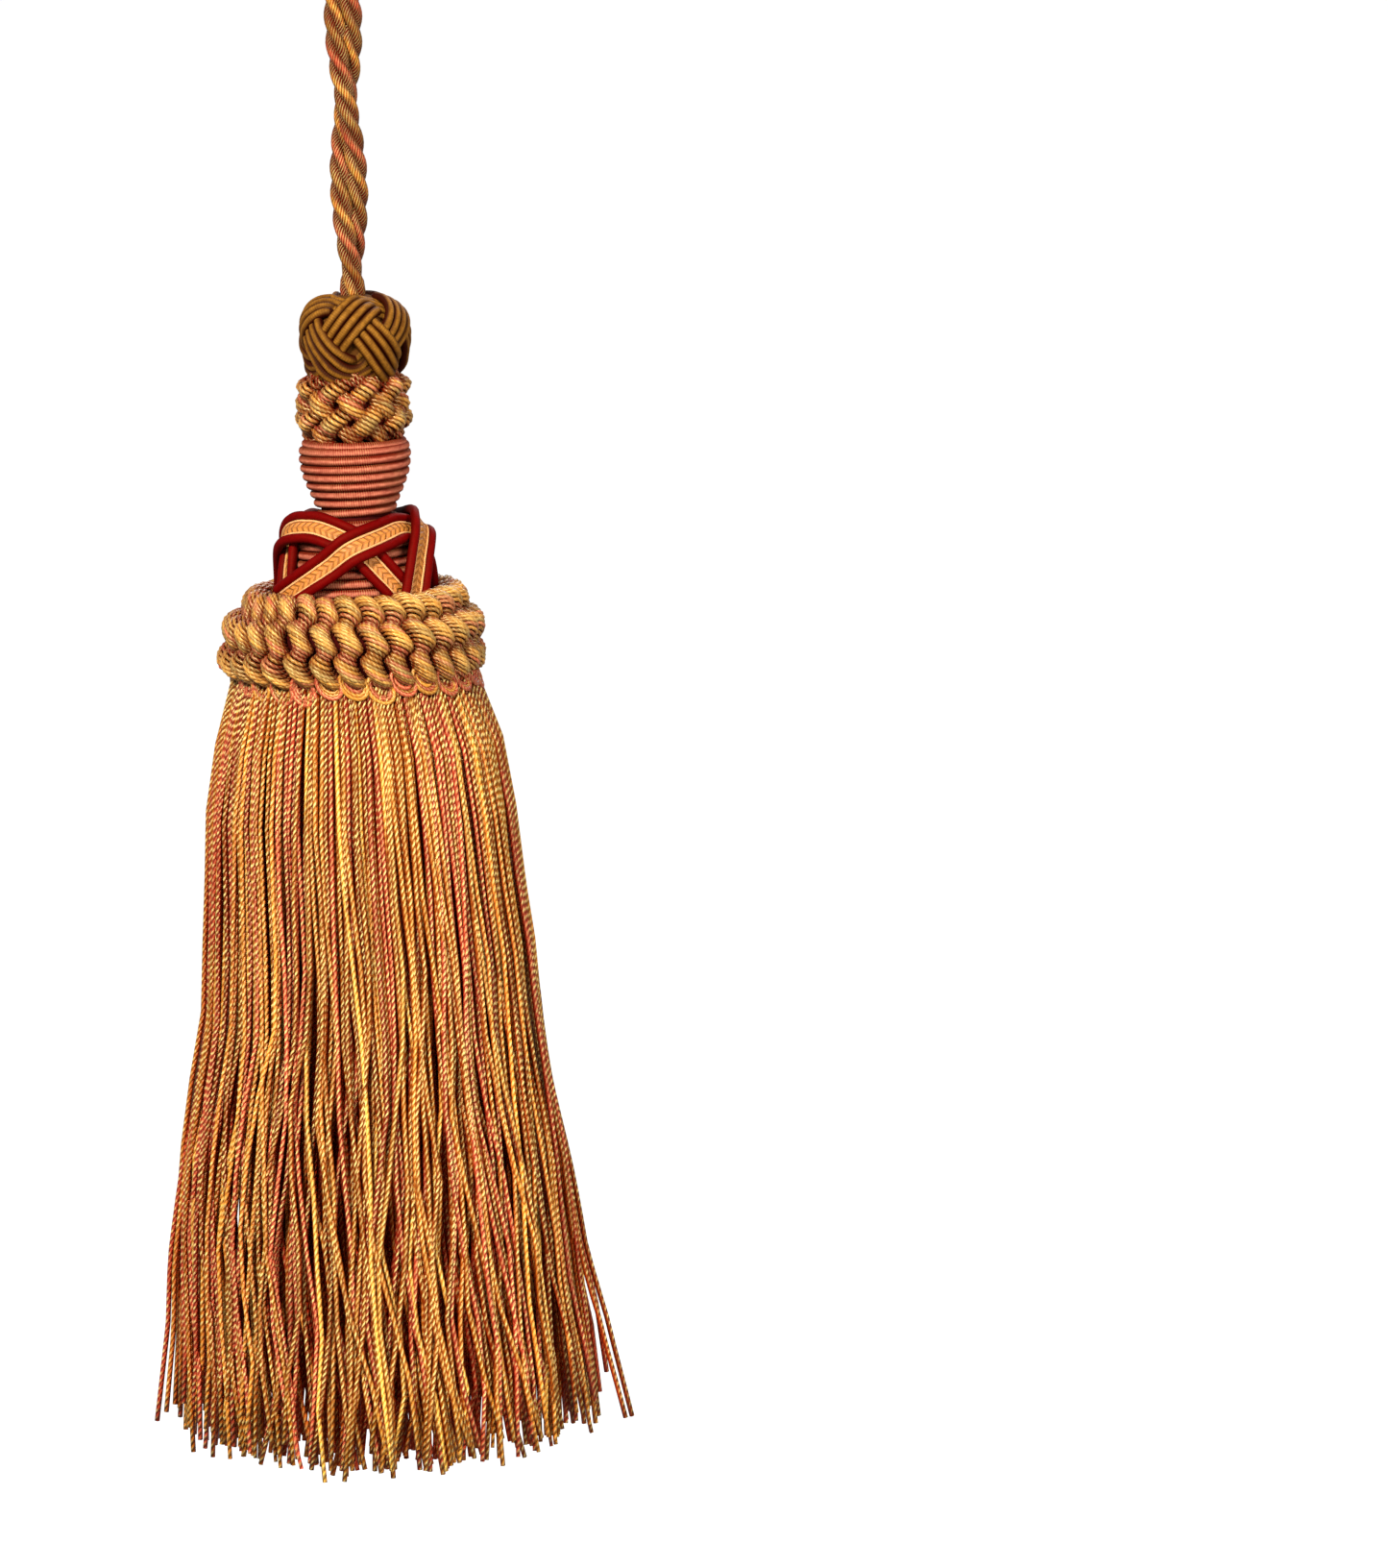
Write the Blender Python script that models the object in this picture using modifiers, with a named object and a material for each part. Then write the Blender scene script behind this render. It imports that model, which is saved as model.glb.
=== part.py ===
"""Decorative tassel: a rope loop, a Turk's head knot, a netted collar, a wound head with crossing
braids, a bullion ruff and a fringed skirt.

Metres, +Z up, the front towards -Y. The origin is the inside top of the hanging loop, where a hook holds
the tassel. Depths are measured downwards from the top of the knot. In the tables, lengths are millimetres
and angles are degrees round the tassel, 0 at the front and growing to the front view's right.
"""
import math
import random

import bmesh
import bpy
from mathutils import Vector

MM = 0.001
GAP = 0.3  # clearance between neighbouring pieces, mm

# Hanging cord
ROPE_RADIUS = 2.0
ROPE_LAY = 16.5  # length of one full turn of the three plies
LEG_OFFSET = 2.15  # from the tassel's axis to the middle of a leg
LEG_LAY = 66.0  # length of one full turn of the two legs
LEG_FOOT_ANGLE = 208.0  # where the first leg stands on the knot
FOOT_STRAIGHT = 2.0  # the legs' last upright stretch
LOOP_START = 59.0  # above the knot, where the legs part
LOOP_RADIUS = 8.0  # the loop's round top, to the rope's middle
LOOP_CENTRE = 81.0  # above the knot, the middle of the round top
UNWIND = 4.0  # length over which the legs stop turning
LEG_STEPS = 30
PARTING_STEPS = 12
ARC_STEPS = 7
LOOP_HEIGHT = LOOP_CENTRE + LOOP_RADIUS - ROPE_RADIUS  # knot's top to the loop's inside top

# Knot: columns radius, depth, from the crown's edge down to the seat
KNOT_SIDE = (
    (4.9, 0.0),
    (6.8, 0.9),
    (8.6, 2.3),
    (10.0, 4.1),
    (10.8, 6.2),
    (11.0, 8.4),
    (10.7, 10.8),
    (10.2, 13.0),
    (9.8, 15.0),
    (9.0, 16.5),
)
KNOT_BIGHTS = 5
KNOT_LEADS = 3
KNOT_REACH = 0.40  # half of the side's length that the track swings over
KNOT_BAND = 3.6  # half width of the four cords side by side
KNOT_STEPS = 40

# Collar
COLLAR_TOP = 16.8
COLLAR_BOTTOM = 29.4
COLLAR_RADIUS = 10.4
COLLAR_CELLS = 9
COLLAR_CELL_HEIGHT = 6.6
COLLAR_RELIEF = 0.9
COLLAR_LEVELS = 8

# Wound head: columns radius, depth. A ball, a waist and a bell
HEAD_SIDE = (
    (10.4, 29.7),
    (11.1, 30.9),
    (11.3, 33.0),
    (10.9, 36.0),
    (10.0, 38.6),
    (9.0, 41.0),
    (8.2, 43.2),
    (8.1, 44.4),
    (9.6, 45.7),
    (11.0, 47.2),
    (12.1, 49.0),
    (13.0, 51.2),
    (13.8, 54.0),
    (14.4, 57.0),
    (14.9, 60.0),
    (15.1, 63.0),
)
HEAD_STEPS = 36

# Braids crossing on the bell: columns angle, depth, lift over the one below
BRAID_HALF_WIDTH = 3.2
BRAID_THICKNESS = 1.7
BRAID_SEAT = 0.45  # from the wound head's facets to the braid's underside
BRAID_STATIONS = 5  # stations on each stretch between two rows of a table
BRAID_ROUTES = {
    "first": (
        (-56, 60.8, 1.0),
        (-37, 57.2, 0.8),
        (-18, 53.6, 0.6),
        (0, 50.6, 1.1),
        (28, 48.2, 0.3),
        (54, 47.2, 0.0),
        (78, 48.8, 0.0),
        (98, 53.5, 0.0),
        (114, 60.6, 0.0),
    ),
    "second": (
        (43, 60.8, 0.0),
        (28, 56.4, 0.0),
        (14, 52.4, 0.0),
        (0, 49.3, 0.0),
        (-26, 47.4, 0.2),
        (-50, 47.2, 0.6),
        (-76, 48.9, 1.1),
        (-98, 53.5, 0.4),
        (-115, 60.6, 0.0),
    ),
    "third": (
        (44, 60.8, 0.9),
        (50, 56.0, 0.9),
        (59, 51.4, 1.0),
        (76, 47.9, 1.1),
        (110, 47.2, 0.2),
        (150, 49.6, 0.4),
        (176, 55.2, 1.0),
        (190, 60.6, 0.9),
    ),
    "fourth": (
        (-60, 60.8, 0.0),
        (-64, 56.0, 0.0),
        (-72, 51.2, 0.0),
        (-89, 47.8, 0.0),
        (-120, 47.2, 0.0),
        (-150, 49.6, 0.0),
        (-176, 55.2, 0.0),
        (-190, 60.6, 0.0),
    ),
}
# Section of a braid: columns share of the half width, share of the thickness
BRAID_SECTION = ((-1.0, 0.0), (-1.0, 0.7), (-0.55, 1.0), (0.55, 1.0), (1.0, 0.7), (1.0, 0.0), (0.0, 0.0))

# Ruff: columns radius, depth, from the inner top edge round the outside to the inner bottom edge
RUFF_COLUMNS = 32
RUFF_STEPS = 4 * RUFF_COLUMNS
RUFF_INSIDE = 18.6
RUFF_SIDE = (
    (20.4, 59.2),
    (22.9, 61.3),
    (25.0, 64.2),
    (26.1, 67.5),
    (26.4, 71.0),
    (26.0, 74.4),
    (24.9, 77.6),
)
RUFF_TOP = 58.7
RUFF_BOTTOM = 77.9
RUFF_LEAN = 0.18  # share of a column that each level shifts to the side
RUFF_BEAD = 0.7
RUFF_GROOVE = -0.4

# Skirt: a head disc and locks of fringe
BOSS_RADIUS = RUFF_INSIDE - GAP
BOSS_TOP = HEAD_SIDE[-1][1] + GAP
FLANGE_RADIUS = 24.9
FLANGE_TOP = RUFF_BOTTOM + GAP
FLANGE_BOTTOM = 79.7
ROOT_SINK = 0.6  # how far a lock's root reaches into the disc
# Columns radius at the root, number of locks, levels below the root
LOCK_RINGS = (
    (23.6, 62, "outer"),
    (20.2, 52, "outer"),
    (16.6, 40, "inner"),
    (12.6, 30, "inner"),
    (8.6, 20, "inner"),
    (4.4, 10, "inner"),
)
# Columns share of the way down, spread against the root, share of the full size
LOCK_LEVELS = {
    "outer": ((0.0, 1.0, 1.0), (0.1, 1.18, 1.0), (0.42, 1.35, 1.0), (0.7, 1.62, 0.9), (1.0, 1.75, 0.45)),
    "inner": ((0.0, 1.0, 1.0), (0.1, 1.18, 1.0), (0.55, 1.46, 1.0), (1.0, 1.72, 0.5)),
}
LOCK_SIZE = 1.12  # from the middle of a lock's three-sided section to a corner
LOCK_DEEP = 1.5  # how much deeper than wide a lock is
HEM_DEPTH = 233.0

# Columns colour, roughness
FINISHES = {
    "hanging_cord": ((0.47, 0.20, 0.07), 0.55),
    "knot": ((0.30, 0.15, 0.02), 0.6),
    "collar": ((0.50, 0.24, 0.07), 0.55),
    "winding": ((0.55, 0.17, 0.10), 0.6),
    "bell_braid": ((0.30, 0.02, 0.01), 0.5),
    "ruff": ((0.52, 0.30, 0.08), 0.5),
    "skirt": ((0.58, 0.33, 0.09), 0.5),
}


def point(angle, radius, depth):
    """The place at an angle, radius and depth, in metres."""
    turn = math.radians(angle - 90)
    return Vector((radius * math.cos(turn), radius * math.sin(turn), -LOOP_HEIGHT - depth)) * MM


def angle_of(place):
    return math.degrees(math.atan2(place.y, place.x)) + 90


def collection(name, hidden=False):
    found = bpy.data.collections.new(name)
    found.hide_render = hidden
    bpy.context.scene.collection.children.link(found)
    return found


def add_object(name, data, home):
    obj = bpy.data.objects.new(name, data)
    home.objects.link(obj)
    return obj


def helper(obj):
    """Marks an object that only shapes another one."""
    obj.hide_render = True
    obj.display_type = "WIRE"
    return obj


def finish(obj):
    """Gives a piece its own material."""
    colour, roughness = FINISHES[obj.name]
    material = bpy.data.materials.new(obj.name)
    material.use_nodes = True
    shader = material.node_tree.nodes["Principled BSDF"]
    shader.inputs["Base Color"].default_value = (*colour, 1.0)
    shader.inputs["Roughness"].default_value = roughness
    shader.inputs["Metallic"].default_value = 0.0
    obj.data.materials.clear()
    obj.data.materials.append(material)


def shade_smooth(obj):
    for face in obj.data.polygons:
        face.use_smooth = True


def turned(name, profile, steps, home, ring=False):
    """A piece turned round the tassel's axis from rows of radius and depth, with a Screw modifier."""
    mesh = bpy.data.meshes.new(name)
    corners = [point(90, radius, depth) for radius, depth in profile]
    edges = [(i, i + 1) for i in range(len(corners) - 1)]
    if ring:
        edges.append((len(corners) - 1, 0))
    mesh.from_pydata(corners, edges, [])
    obj = add_object(name, mesh, home)
    screw = obj.modifiers.new("Turn", "SCREW")
    screw.axis = "Z"
    screw.angle = math.radians(360)
    screw.steps = screw.render_steps = steps
    screw.use_merge_vertices = True
    screw.merge_threshold = 0.00001
    bpy.context.view_layer.objects.active = obj
    obj.select_set(True)
    bpy.ops.object.modifier_apply(modifier=screw.name)
    obj.select_set(False)
    face_outwards(obj)
    return obj


def face_outwards(obj):
    shape = bmesh.new()
    shape.from_mesh(obj.data)
    bmesh.ops.recalc_face_normals(shape, faces=shape.faces)
    shape.to_mesh(obj.data)
    shape.free()


def raise_relief(obj, relief):
    """Moves each point away from the axis by relief(angle, radius, depth), all in millimetres."""
    for corner in obj.data.vertices:
        angle = angle_of(corner.co)
        radius = corner.co.xy.length / MM
        depth = -corner.co.z / MM - LOOP_HEIGHT
        corner.co = point(angle, radius + relief(angle, radius, depth), depth)


def add_loft(shape, rings):
    """Adds one closed body through rings of points, with a flat face at either end."""
    loops = [[shape.verts.new(place) for place in ring] for ring in rings]
    for lower, upper in zip(loops, loops[1:]):
        for i, corner in enumerate(lower):
            j = (i + 1) % len(lower)
            shape.faces.new((corner, lower[j], upper[j], upper[i]))
    shape.faces.new(loops[0])
    shape.faces.new(loops[-1])


def lofted(name, bodies, home):
    """An object of one or more lofts."""
    shape = bmesh.new()
    for rings in bodies:
        add_loft(shape, rings)
    bmesh.ops.recalc_face_normals(shape, faces=shape.faces)
    mesh = bpy.data.meshes.new(name)
    shape.to_mesh(mesh)
    shape.free()
    return add_object(name, mesh, home)


def fuse(obj, others):
    """Joins helpers to a piece with Boolean unions."""
    for other in others:
        union = obj.modifiers.new("Fuse " + other.name, "BOOLEAN")
        union.operation = "UNION"
        union.solver = "EXACT"
        union.object = helper(other)


def between(a, b, c, d, t):
    """The Catmull-Rom value at share t of the way from b to c."""
    straight = 2 * b + (c - a) * t
    bend = (2 * a - 5 * b + 4 * c - d) * t**2 + (3 * b - a - 3 * c + d) * t**3
    return 0.5 * (straight + bend)


def smooth_route(rows, stations):
    """Points of a smooth curve through the rows of a table."""
    knots = [rows[0], *rows, rows[-1]]
    found = []
    for group in zip(knots, knots[1:], knots[2:], knots[3:]):
        for step in range(stations):
            found.append(tuple(between(*values, step / stations) for values in zip(*group)))
    found.append(tuple(rows[-1]))
    return found


# Hanging cord


def leg_angle(height, side):
    """Where a leg stands round the axis at a height above the knot: the legs turn, then part in the loop."""
    over = min(max(height - LOOP_START, 0.0), UNWIND)
    turning = min(height, LOOP_START) + over - over**2 / (2 * UNWIND)
    return LEG_FOOT_ANGLE + 180 * side - 360 * turning / LEG_LAY


def half_route():
    """Rows of height above the knot and distance from the axis, from a foot to the loop's top."""
    rows = [(GAP, LEG_OFFSET)]
    rise = LOOP_START - FOOT_STRAIGHT
    rows += [(FOOT_STRAIGHT + rise * step / LEG_STEPS, LEG_OFFSET) for step in range(LEG_STEPS)]
    for step in range(PARTING_STEPS):
        share = step / PARTING_STEPS
        spread = LEG_OFFSET + (LOOP_RADIUS - LEG_OFFSET) * math.sin(math.radians(90 * share)) ** 2
        rows.append((LOOP_START + (LOOP_CENTRE - LOOP_START) * share, spread))
    for step in range(ARC_STEPS + 1):
        turn = math.radians(90 * step / ARC_STEPS)
        rows.append((LOOP_CENTRE + LOOP_RADIUS * math.sin(turn), LOOP_RADIUS * math.cos(turn)))
    return rows


def cord_places():
    """The rope's middle from one foot up round the loop to the other foot."""
    sides = []
    for side in (0, 1):
        sides.append(
            [point(leg_angle(max(height, FOOT_STRAIGHT), side), out, -height) for height, out in half_route()]
        )
    return sides[0] + sides[1][-2::-1]


def rope_section(home):
    """The rope's three plies as a closed outline."""
    outline = bpy.data.curves.new("rope_section", "CURVE")
    spline = outline.splines.new("POLY")
    corners = 9
    spline.points.add(corners - 1)
    for i, corner in enumerate(spline.points):
        turn = -math.radians(360 * i / corners)
        radius = ROPE_RADIUS * (1.0 if i % 3 == 0 else 0.8) * MM
        corner.co = (radius * math.cos(turn), radius * math.sin(turn), 0, 1)
    spline.use_cyclic_u = True
    return helper(add_object("rope_section", outline, home))


def hanging_cord(home, helpers):
    """One rope doubled into a loop: a curve whose tilt lays the plies round each other."""
    places = cord_places()
    curve = bpy.data.curves.new("hanging_cord", "CURVE")
    curve.dimensions = "3D"
    curve.twist_mode = "MINIMUM"
    curve.bevel_mode = "OBJECT"
    curve.bevel_object = rope_section(helpers)
    curve.use_fill_caps = True
    spline = curve.splines.new("POLY")
    spline.points.add(len(places) - 1)
    run = 0.0
    for i, place in enumerate(places):
        if i:
            run += (place - places[i - 1]).length / MM
        spline.points[i].co = (*place, 1)
        spline.points[i].tilt = -math.radians(360) * run / ROPE_LAY
    return add_object("hanging_cord", curve, home)


# Knot


def knot_track():
    """The Turk's head's track: rows of angle, share of the way down the side, and how high it rides."""
    samples = 240
    found = []
    for i in range(samples):
        run = 360 * KNOT_LEADS * i / samples
        swing = math.radians(run * KNOT_BIGHTS / KNOT_LEADS + 30)
        found.append((run, 0.5 - KNOT_REACH * math.sin(swing), math.cos(2 * (swing - math.radians(30)))))
    return found


def knot(home):
    """A turned body on which the bands of the Turk's head stand out, over and under."""
    lengths = [math.dist(a, b) for a, b in zip(KNOT_SIDE, KNOT_SIDE[1:])]
    side = sum(lengths)
    share = {depth: sum(lengths[:i]) / side for i, (_, depth) in enumerate(KNOT_SIDE)}
    track = knot_track()

    def weave(angle, radius, depth):
        if radius < KNOT_SIDE[0][0] + 0.1:
            return 0.0
        here = min(share, key=lambda level: abs(level - depth))
        best = -0.6
        for run, down, ride in track:
            across = math.radians((angle - run + 180) % 360 - 180) * radius
            away = math.hypot(across, (share[here] - down) * side)
            if away < KNOT_BAND:
                best = max(best, 0.5 * ride + 0.7 * math.sqrt(1 - (away / KNOT_BAND) ** 2) - 0.4)
        return best

    profile = [(0.0, KNOT_SIDE[0][1]), *KNOT_SIDE, (0.0, KNOT_SIDE[-1][1])]
    obj = turned("knot", profile, KNOT_STEPS, home)
    raise_relief(obj, weave)
    return obj


# Collar


def collar(home):
    """A short drum with its net of rope tufts raised on it in crossing slants."""

    def net(angle, radius, depth):
        if radius < COLLAR_RADIUS - 0.1:
            return 0.0
        column = COLLAR_CELLS * angle / 360
        row = (depth - COLLAR_TOP) / COLLAR_CELL_HEIGHT
        slants = (column + row, column - row)
        return COLLAR_RELIEF * (max(abs(math.cos(math.pi * slant)) for slant in slants) - 0.3)

    rise = (COLLAR_BOTTOM - COLLAR_TOP) / COLLAR_LEVELS
    side = [(COLLAR_RADIUS, COLLAR_TOP + rise * level) for level in range(COLLAR_LEVELS + 1)]
    profile = [(0.0, COLLAR_TOP), *side, (0.0, COLLAR_BOTTOM)]
    obj = turned("collar", profile, 6 * COLLAR_CELLS, home)
    raise_relief(obj, net)
    return obj


# Wound head and its braids


def winding(home):
    """The ball, waist and bell that the cord is wound over."""
    profile = [(0.0, HEAD_SIDE[0][1]), *HEAD_SIDE, (0.0, HEAD_SIDE[-1][1])]
    return turned("winding", profile, HEAD_STEPS, home)


def head_radius(depth):
    for (inner, upper), (outer, lower) in zip(HEAD_SIDE, HEAD_SIDE[1:]):
        if depth <= lower:
            return inner + (outer - inner) * (depth - upper) / (lower - upper)
    return HEAD_SIDE[-1][0]


def on_bell(angle, depth, lift):
    """A place at a height above the wound bell's surface, square to it."""
    reach = 1.2  # the surface's slope is read over this length, so that its facets are rounded off
    slope = (head_radius(depth + reach) - head_radius(depth - reach)) / (2 * reach)
    lean = math.atan(max(0.0, slope))
    return point(angle, head_radius(depth) + lift * math.cos(lean), depth - lift * math.sin(lean))


def braid(name, route, home):
    """A flat band over the bell, through its route's rows."""
    stations = smooth_route(route, BRAID_STATIONS)
    middles = [on_bell(angle, depth, BRAID_SEAT) for angle, depth, _ in stations]
    rings = []
    for i, (angle, depth, lift) in enumerate(stations):
        ahead = middles[min(i + 1, len(middles) - 1)] - middles[max(i - 1, 0)]
        up = on_bell(angle, depth, 1.0) - on_bell(angle, depth, 0.0)
        aside = ahead.cross(up).normalized()
        ring = []
        for across, height in BRAID_SECTION:
            place = middles[i] + aside * (across * BRAID_HALF_WIDTH * MM)
            deep = -place.z / MM - LOOP_HEIGHT
            ring.append(on_bell(angle_of(place), deep, BRAID_SEAT + lift + height * BRAID_THICKNESS))
        rings.append(ring)
    return lofted(name, [rings], home)


def bell_braid(home, helpers):
    """The four crossing braids, fused where they lie over each other."""
    names = list(BRAID_ROUTES)
    obj = braid("bell_braid", BRAID_ROUTES[names[0]], home)
    fuse(obj, [braid("braid_" + name, BRAID_ROUTES[name], helpers) for name in names[1:]])
    return obj


# Ruff


def ruff(home):
    """A thick ring with three rows of bullion beads raised on it, in leaning columns."""
    levels = {depth: i for i, (_, depth) in enumerate(RUFF_SIDE)}

    def beads(angle, radius, depth):
        level = min(levels, key=lambda there: abs(there - depth))
        if abs(level - depth) > 0.01 or radius < RUFF_INSIDE + 0.1:
            return 0.0
        if levels[level] % 2 == 0:
            return RUFF_GROOVE
        column = RUFF_COLUMNS * angle / 360 - RUFF_LEAN * levels[level]
        return RUFF_BEAD * math.cos(2 * math.pi * column)

    profile = [(RUFF_INSIDE, RUFF_TOP), *RUFF_SIDE, (RUFF_INSIDE, RUFF_BOTTOM)]
    obj = turned("ruff", profile, RUFF_STEPS, home, ring=True)
    raise_relief(obj, beads)
    return obj


# Skirt


def sway(angle, share):
    """How far the locks at an angle drift sideways on their way down, in degrees."""
    broad = 1.3 * math.sin(math.radians(3 * angle + 40))
    narrow = 0.35 * math.sin(math.radians(7 * angle))
    return share * (broad + narrow)


def swell(angle, share):
    """How much wider or narrower than even the skirt hangs at an angle."""
    broad = 0.03 * math.sin(math.radians(4 * angle + 60))
    narrow = 0.012 * math.sin(math.radians(9 * angle))
    return 1 + share * (broad + narrow)


def lock(angle, radius, levels, length):
    """The rings of one three-sided lock of fringe from its root to its tip."""
    rings = []
    for share, spread, size in levels:
        depth = FLANGE_BOTTOM - ROOT_SINK + share * (length + ROOT_SINK)
        out = radius * spread * swell(angle, share)
        middle = angle + sway(angle, share)
        half = LOCK_SIZE * size * spread
        ring = []
        for corner in (60, 180, 300):
            turn = math.radians(corner)
            away = out + half * LOCK_DEEP * math.cos(turn)
            ring.append(point(middle + math.degrees(half * math.sin(turn) / out), away, depth))
        rings.append(ring)
    return rings


def skirt(home, helpers):
    """The head disc, with the fringe's locks fused to it at their roots only."""
    chance = random.Random(7)
    profile = (
        (0.0, BOSS_TOP),
        (BOSS_RADIUS, BOSS_TOP),
        (BOSS_RADIUS, FLANGE_TOP),
        (FLANGE_RADIUS, FLANGE_TOP),
        (FLANGE_RADIUS, FLANGE_BOTTOM),
        (0.0, FLANGE_BOTTOM),
    )
    obj = turned("skirt", profile, 48, home)
    locks = []
    for radius, count, kind in LOCK_RINGS:
        start = chance.uniform(0, 360 / count)
        for i in range(count):
            angle = start + 360 * i / count
            wave = 2.0 * math.sin(math.radians(3 * angle)) + 1.2 * math.sin(math.radians(8 * angle))
            length = HEM_DEPTH - FLANGE_BOTTOM + wave + chance.uniform(-3.0, 2.0)
            locks.append(lock(angle, radius, LOCK_LEVELS[kind], length))
    fuse(obj, [lofted("skirt_locks", locks, helpers)])
    return obj


def main():
    for obj in list(bpy.data.objects):
        bpy.data.objects.remove(obj, do_unlink=True)
    home = collection("decorative_tassel")
    helpers = collection("helpers", hidden=True)
    smooth = [knot(home), collar(home), winding(home), ruff(home)]
    for obj in smooth:
        shade_smooth(obj)
    pieces = smooth + [hanging_cord(home, helpers), bell_braid(home, helpers), skirt(home, helpers)]
    for obj in pieces:
        finish(obj)


main()
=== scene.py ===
# %% [markdown]
# # A decorative tassel
# A tie-back tassel is made of many small pieces of yarn: a rope loop to hang it by, a knot, a netted
# collar, a wound head with braids over it, a ruff of bullion and a long skirt of twisted threads.
# This lesson dresses a plain solid model of such a tassel, piece by piece. Every piece is laid out round
# one upright axis, so a place is given by its angle, its radius and its depth below the knot's top.

# %% Load the frame
import math
import random

import bpy
import numpy as np
from mathutils import Matrix, Vector


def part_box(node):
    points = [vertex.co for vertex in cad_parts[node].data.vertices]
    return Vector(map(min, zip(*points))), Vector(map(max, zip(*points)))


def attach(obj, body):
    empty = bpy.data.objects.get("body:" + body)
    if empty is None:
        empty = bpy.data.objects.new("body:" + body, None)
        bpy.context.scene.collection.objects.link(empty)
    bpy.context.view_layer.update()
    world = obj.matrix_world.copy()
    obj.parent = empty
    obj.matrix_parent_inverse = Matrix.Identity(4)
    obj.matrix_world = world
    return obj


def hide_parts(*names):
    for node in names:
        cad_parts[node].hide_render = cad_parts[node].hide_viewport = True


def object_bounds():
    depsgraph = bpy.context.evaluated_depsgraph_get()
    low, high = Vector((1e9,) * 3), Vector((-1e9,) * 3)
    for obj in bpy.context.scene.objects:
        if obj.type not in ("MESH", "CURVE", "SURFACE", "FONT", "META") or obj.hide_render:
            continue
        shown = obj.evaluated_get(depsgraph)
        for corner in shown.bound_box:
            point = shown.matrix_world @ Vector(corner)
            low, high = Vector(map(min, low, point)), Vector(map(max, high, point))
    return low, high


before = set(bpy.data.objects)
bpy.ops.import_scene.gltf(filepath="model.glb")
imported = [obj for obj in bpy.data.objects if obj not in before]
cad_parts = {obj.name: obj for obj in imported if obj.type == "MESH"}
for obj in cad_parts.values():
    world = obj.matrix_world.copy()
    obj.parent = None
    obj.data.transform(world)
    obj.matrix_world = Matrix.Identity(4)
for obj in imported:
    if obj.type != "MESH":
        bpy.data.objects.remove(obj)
cad_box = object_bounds()
bpy.ops.object.select_all(action="DESELECT")

MM = 0.001
chance = random.Random(11)
KNOT_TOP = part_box("knot")[1][2]
print("knot's top", round(KNOT_TOP, 4), "nodes", sorted(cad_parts))

# %% [markdown]
# ## Places round the axis
# Angles are in degrees, 0 at the front and growing to the front view's right. Radius and depth are in
# millimetres, so that the numbers read like a maker's notes. Whole arrays of them can be turned into
# points at once, which is much faster than one point at a time.

# %% Turn angle, radius and depth into points

# Rows of depth and how far to the right the tassel hangs there
SWAY = (
    (-87, 0.2),
    (0, 0.7),
    (8, 0.95),
    (14, 0.8),
    (20, 0.1),
    (40, 0.2),
    (48, 0.0),
    (58, -0.3),
    (66, -1.2),
    (74, -1.7),
    (80, -0.5),
    (96, -0.7),
    (112, -0.4),
    (128, 0.4),
    (143, 0.6),
    (159, 0.0),
    (195, 0.0),
    (209, 1.3),
    (235, 1.5),
)
sway_depth, sway_right = np.array(SWAY).T


def places(angle, radius, depth):
    """Rows of x, y, z in metres."""
    turn = np.radians(np.asarray(angle, float) - 90)
    depth = np.asarray(depth, float)
    right = np.interp(depth, sway_depth, sway_right)
    spots = np.broadcast_arrays(radius * np.cos(turn) + right, radius * np.sin(turn), -depth)
    return np.stack(spots, -1) * MM + np.array((0, 0, KNOT_TOP))


def smooth_rows(rows, count):
    """Rows of a table, made into count rows along a smooth curve through them."""
    rows = np.asarray(rows, float)
    knots = np.vstack((2 * rows[0] - rows[1], rows, 2 * rows[-1] - rows[-2]))
    at = np.linspace(0, len(rows) - 1, count)
    i = np.minimum(at.astype(int), len(rows) - 2)
    t = (at - i)[:, None]
    a, b, c, d = knots[i], knots[i + 1], knots[i + 2], knots[i + 3]
    straight = 2 * b + (c - a) * t
    bend = (2 * a - 5 * b + 4 * c - d) * t**2 + (3 * b - a - 3 * c + d) * t**3
    return 0.5 * (straight + bend)


def put_in_scene(name, data):
    obj = bpy.data.objects.new(name, data)
    bpy.context.scene.collection.objects.link(obj)
    return obj


print("a place 10 mm in front of the knot's top", places(0, 10, 0).round(4))


# %% [markdown]
# ## The camera
# A long lens from a little above, as in a catalogue picture. The tassel hangs left of the middle and the
# camera is rolled by a degree or so. The camera comes first.

# %% Set up the camera
FOCAL_PIXELS = 7060
PICTURE_HEIGHT = 1632
CAMERA_BACK = 1.3488
CAMERA_SIDE = 0.0665
CAMERA_RISE = 0.1167
PITCH = 9.162
ROLL = 1.25

camera_data = bpy.data.cameras.new("camera")
camera_data.sensor_fit = "VERTICAL"
camera_data.sensor_height = 36
camera_data.lens = FOCAL_PIXELS / PICTURE_HEIGHT * camera_data.sensor_height
camera = put_in_scene("camera", camera_data)
pitch = Matrix.Rotation(math.radians(90 - PITCH), 4, "X")
roll = Matrix.Rotation(math.radians(-ROLL), 4, "Z")
stand = Matrix.Translation((CAMERA_SIDE, -CAMERA_BACK, KNOT_TOP + CAMERA_RISE))
camera.matrix_world = stand @ pitch @ roll
bpy.context.scene.camera = camera
print("lens", round(camera_data.lens, 1), "mm")

# %% [markdown]
# ## Yarn as tubes
# Nearly every piece is yarn of some kind: a round thread that follows a route. A curve with a bevel
# could do it, but the twist of each thread has to follow it in its colour and relief, and hundreds of
# curves are slow. So one helper sweeps a small ring along each route, and writes two things on the mesh:
# a UV map whose first value goes once round the thread and whose second is the length along it, and a
# colour for the yarn's dye with painted shade mixed in. The ring is carried along without turning, so the
# twist comes out even. Where the yarn faces inwards its dye goes over into a painted deep shade, which
# stands in for the shade in the grooves between real yarns.

# %% Sweep yarns along their routes


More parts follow.
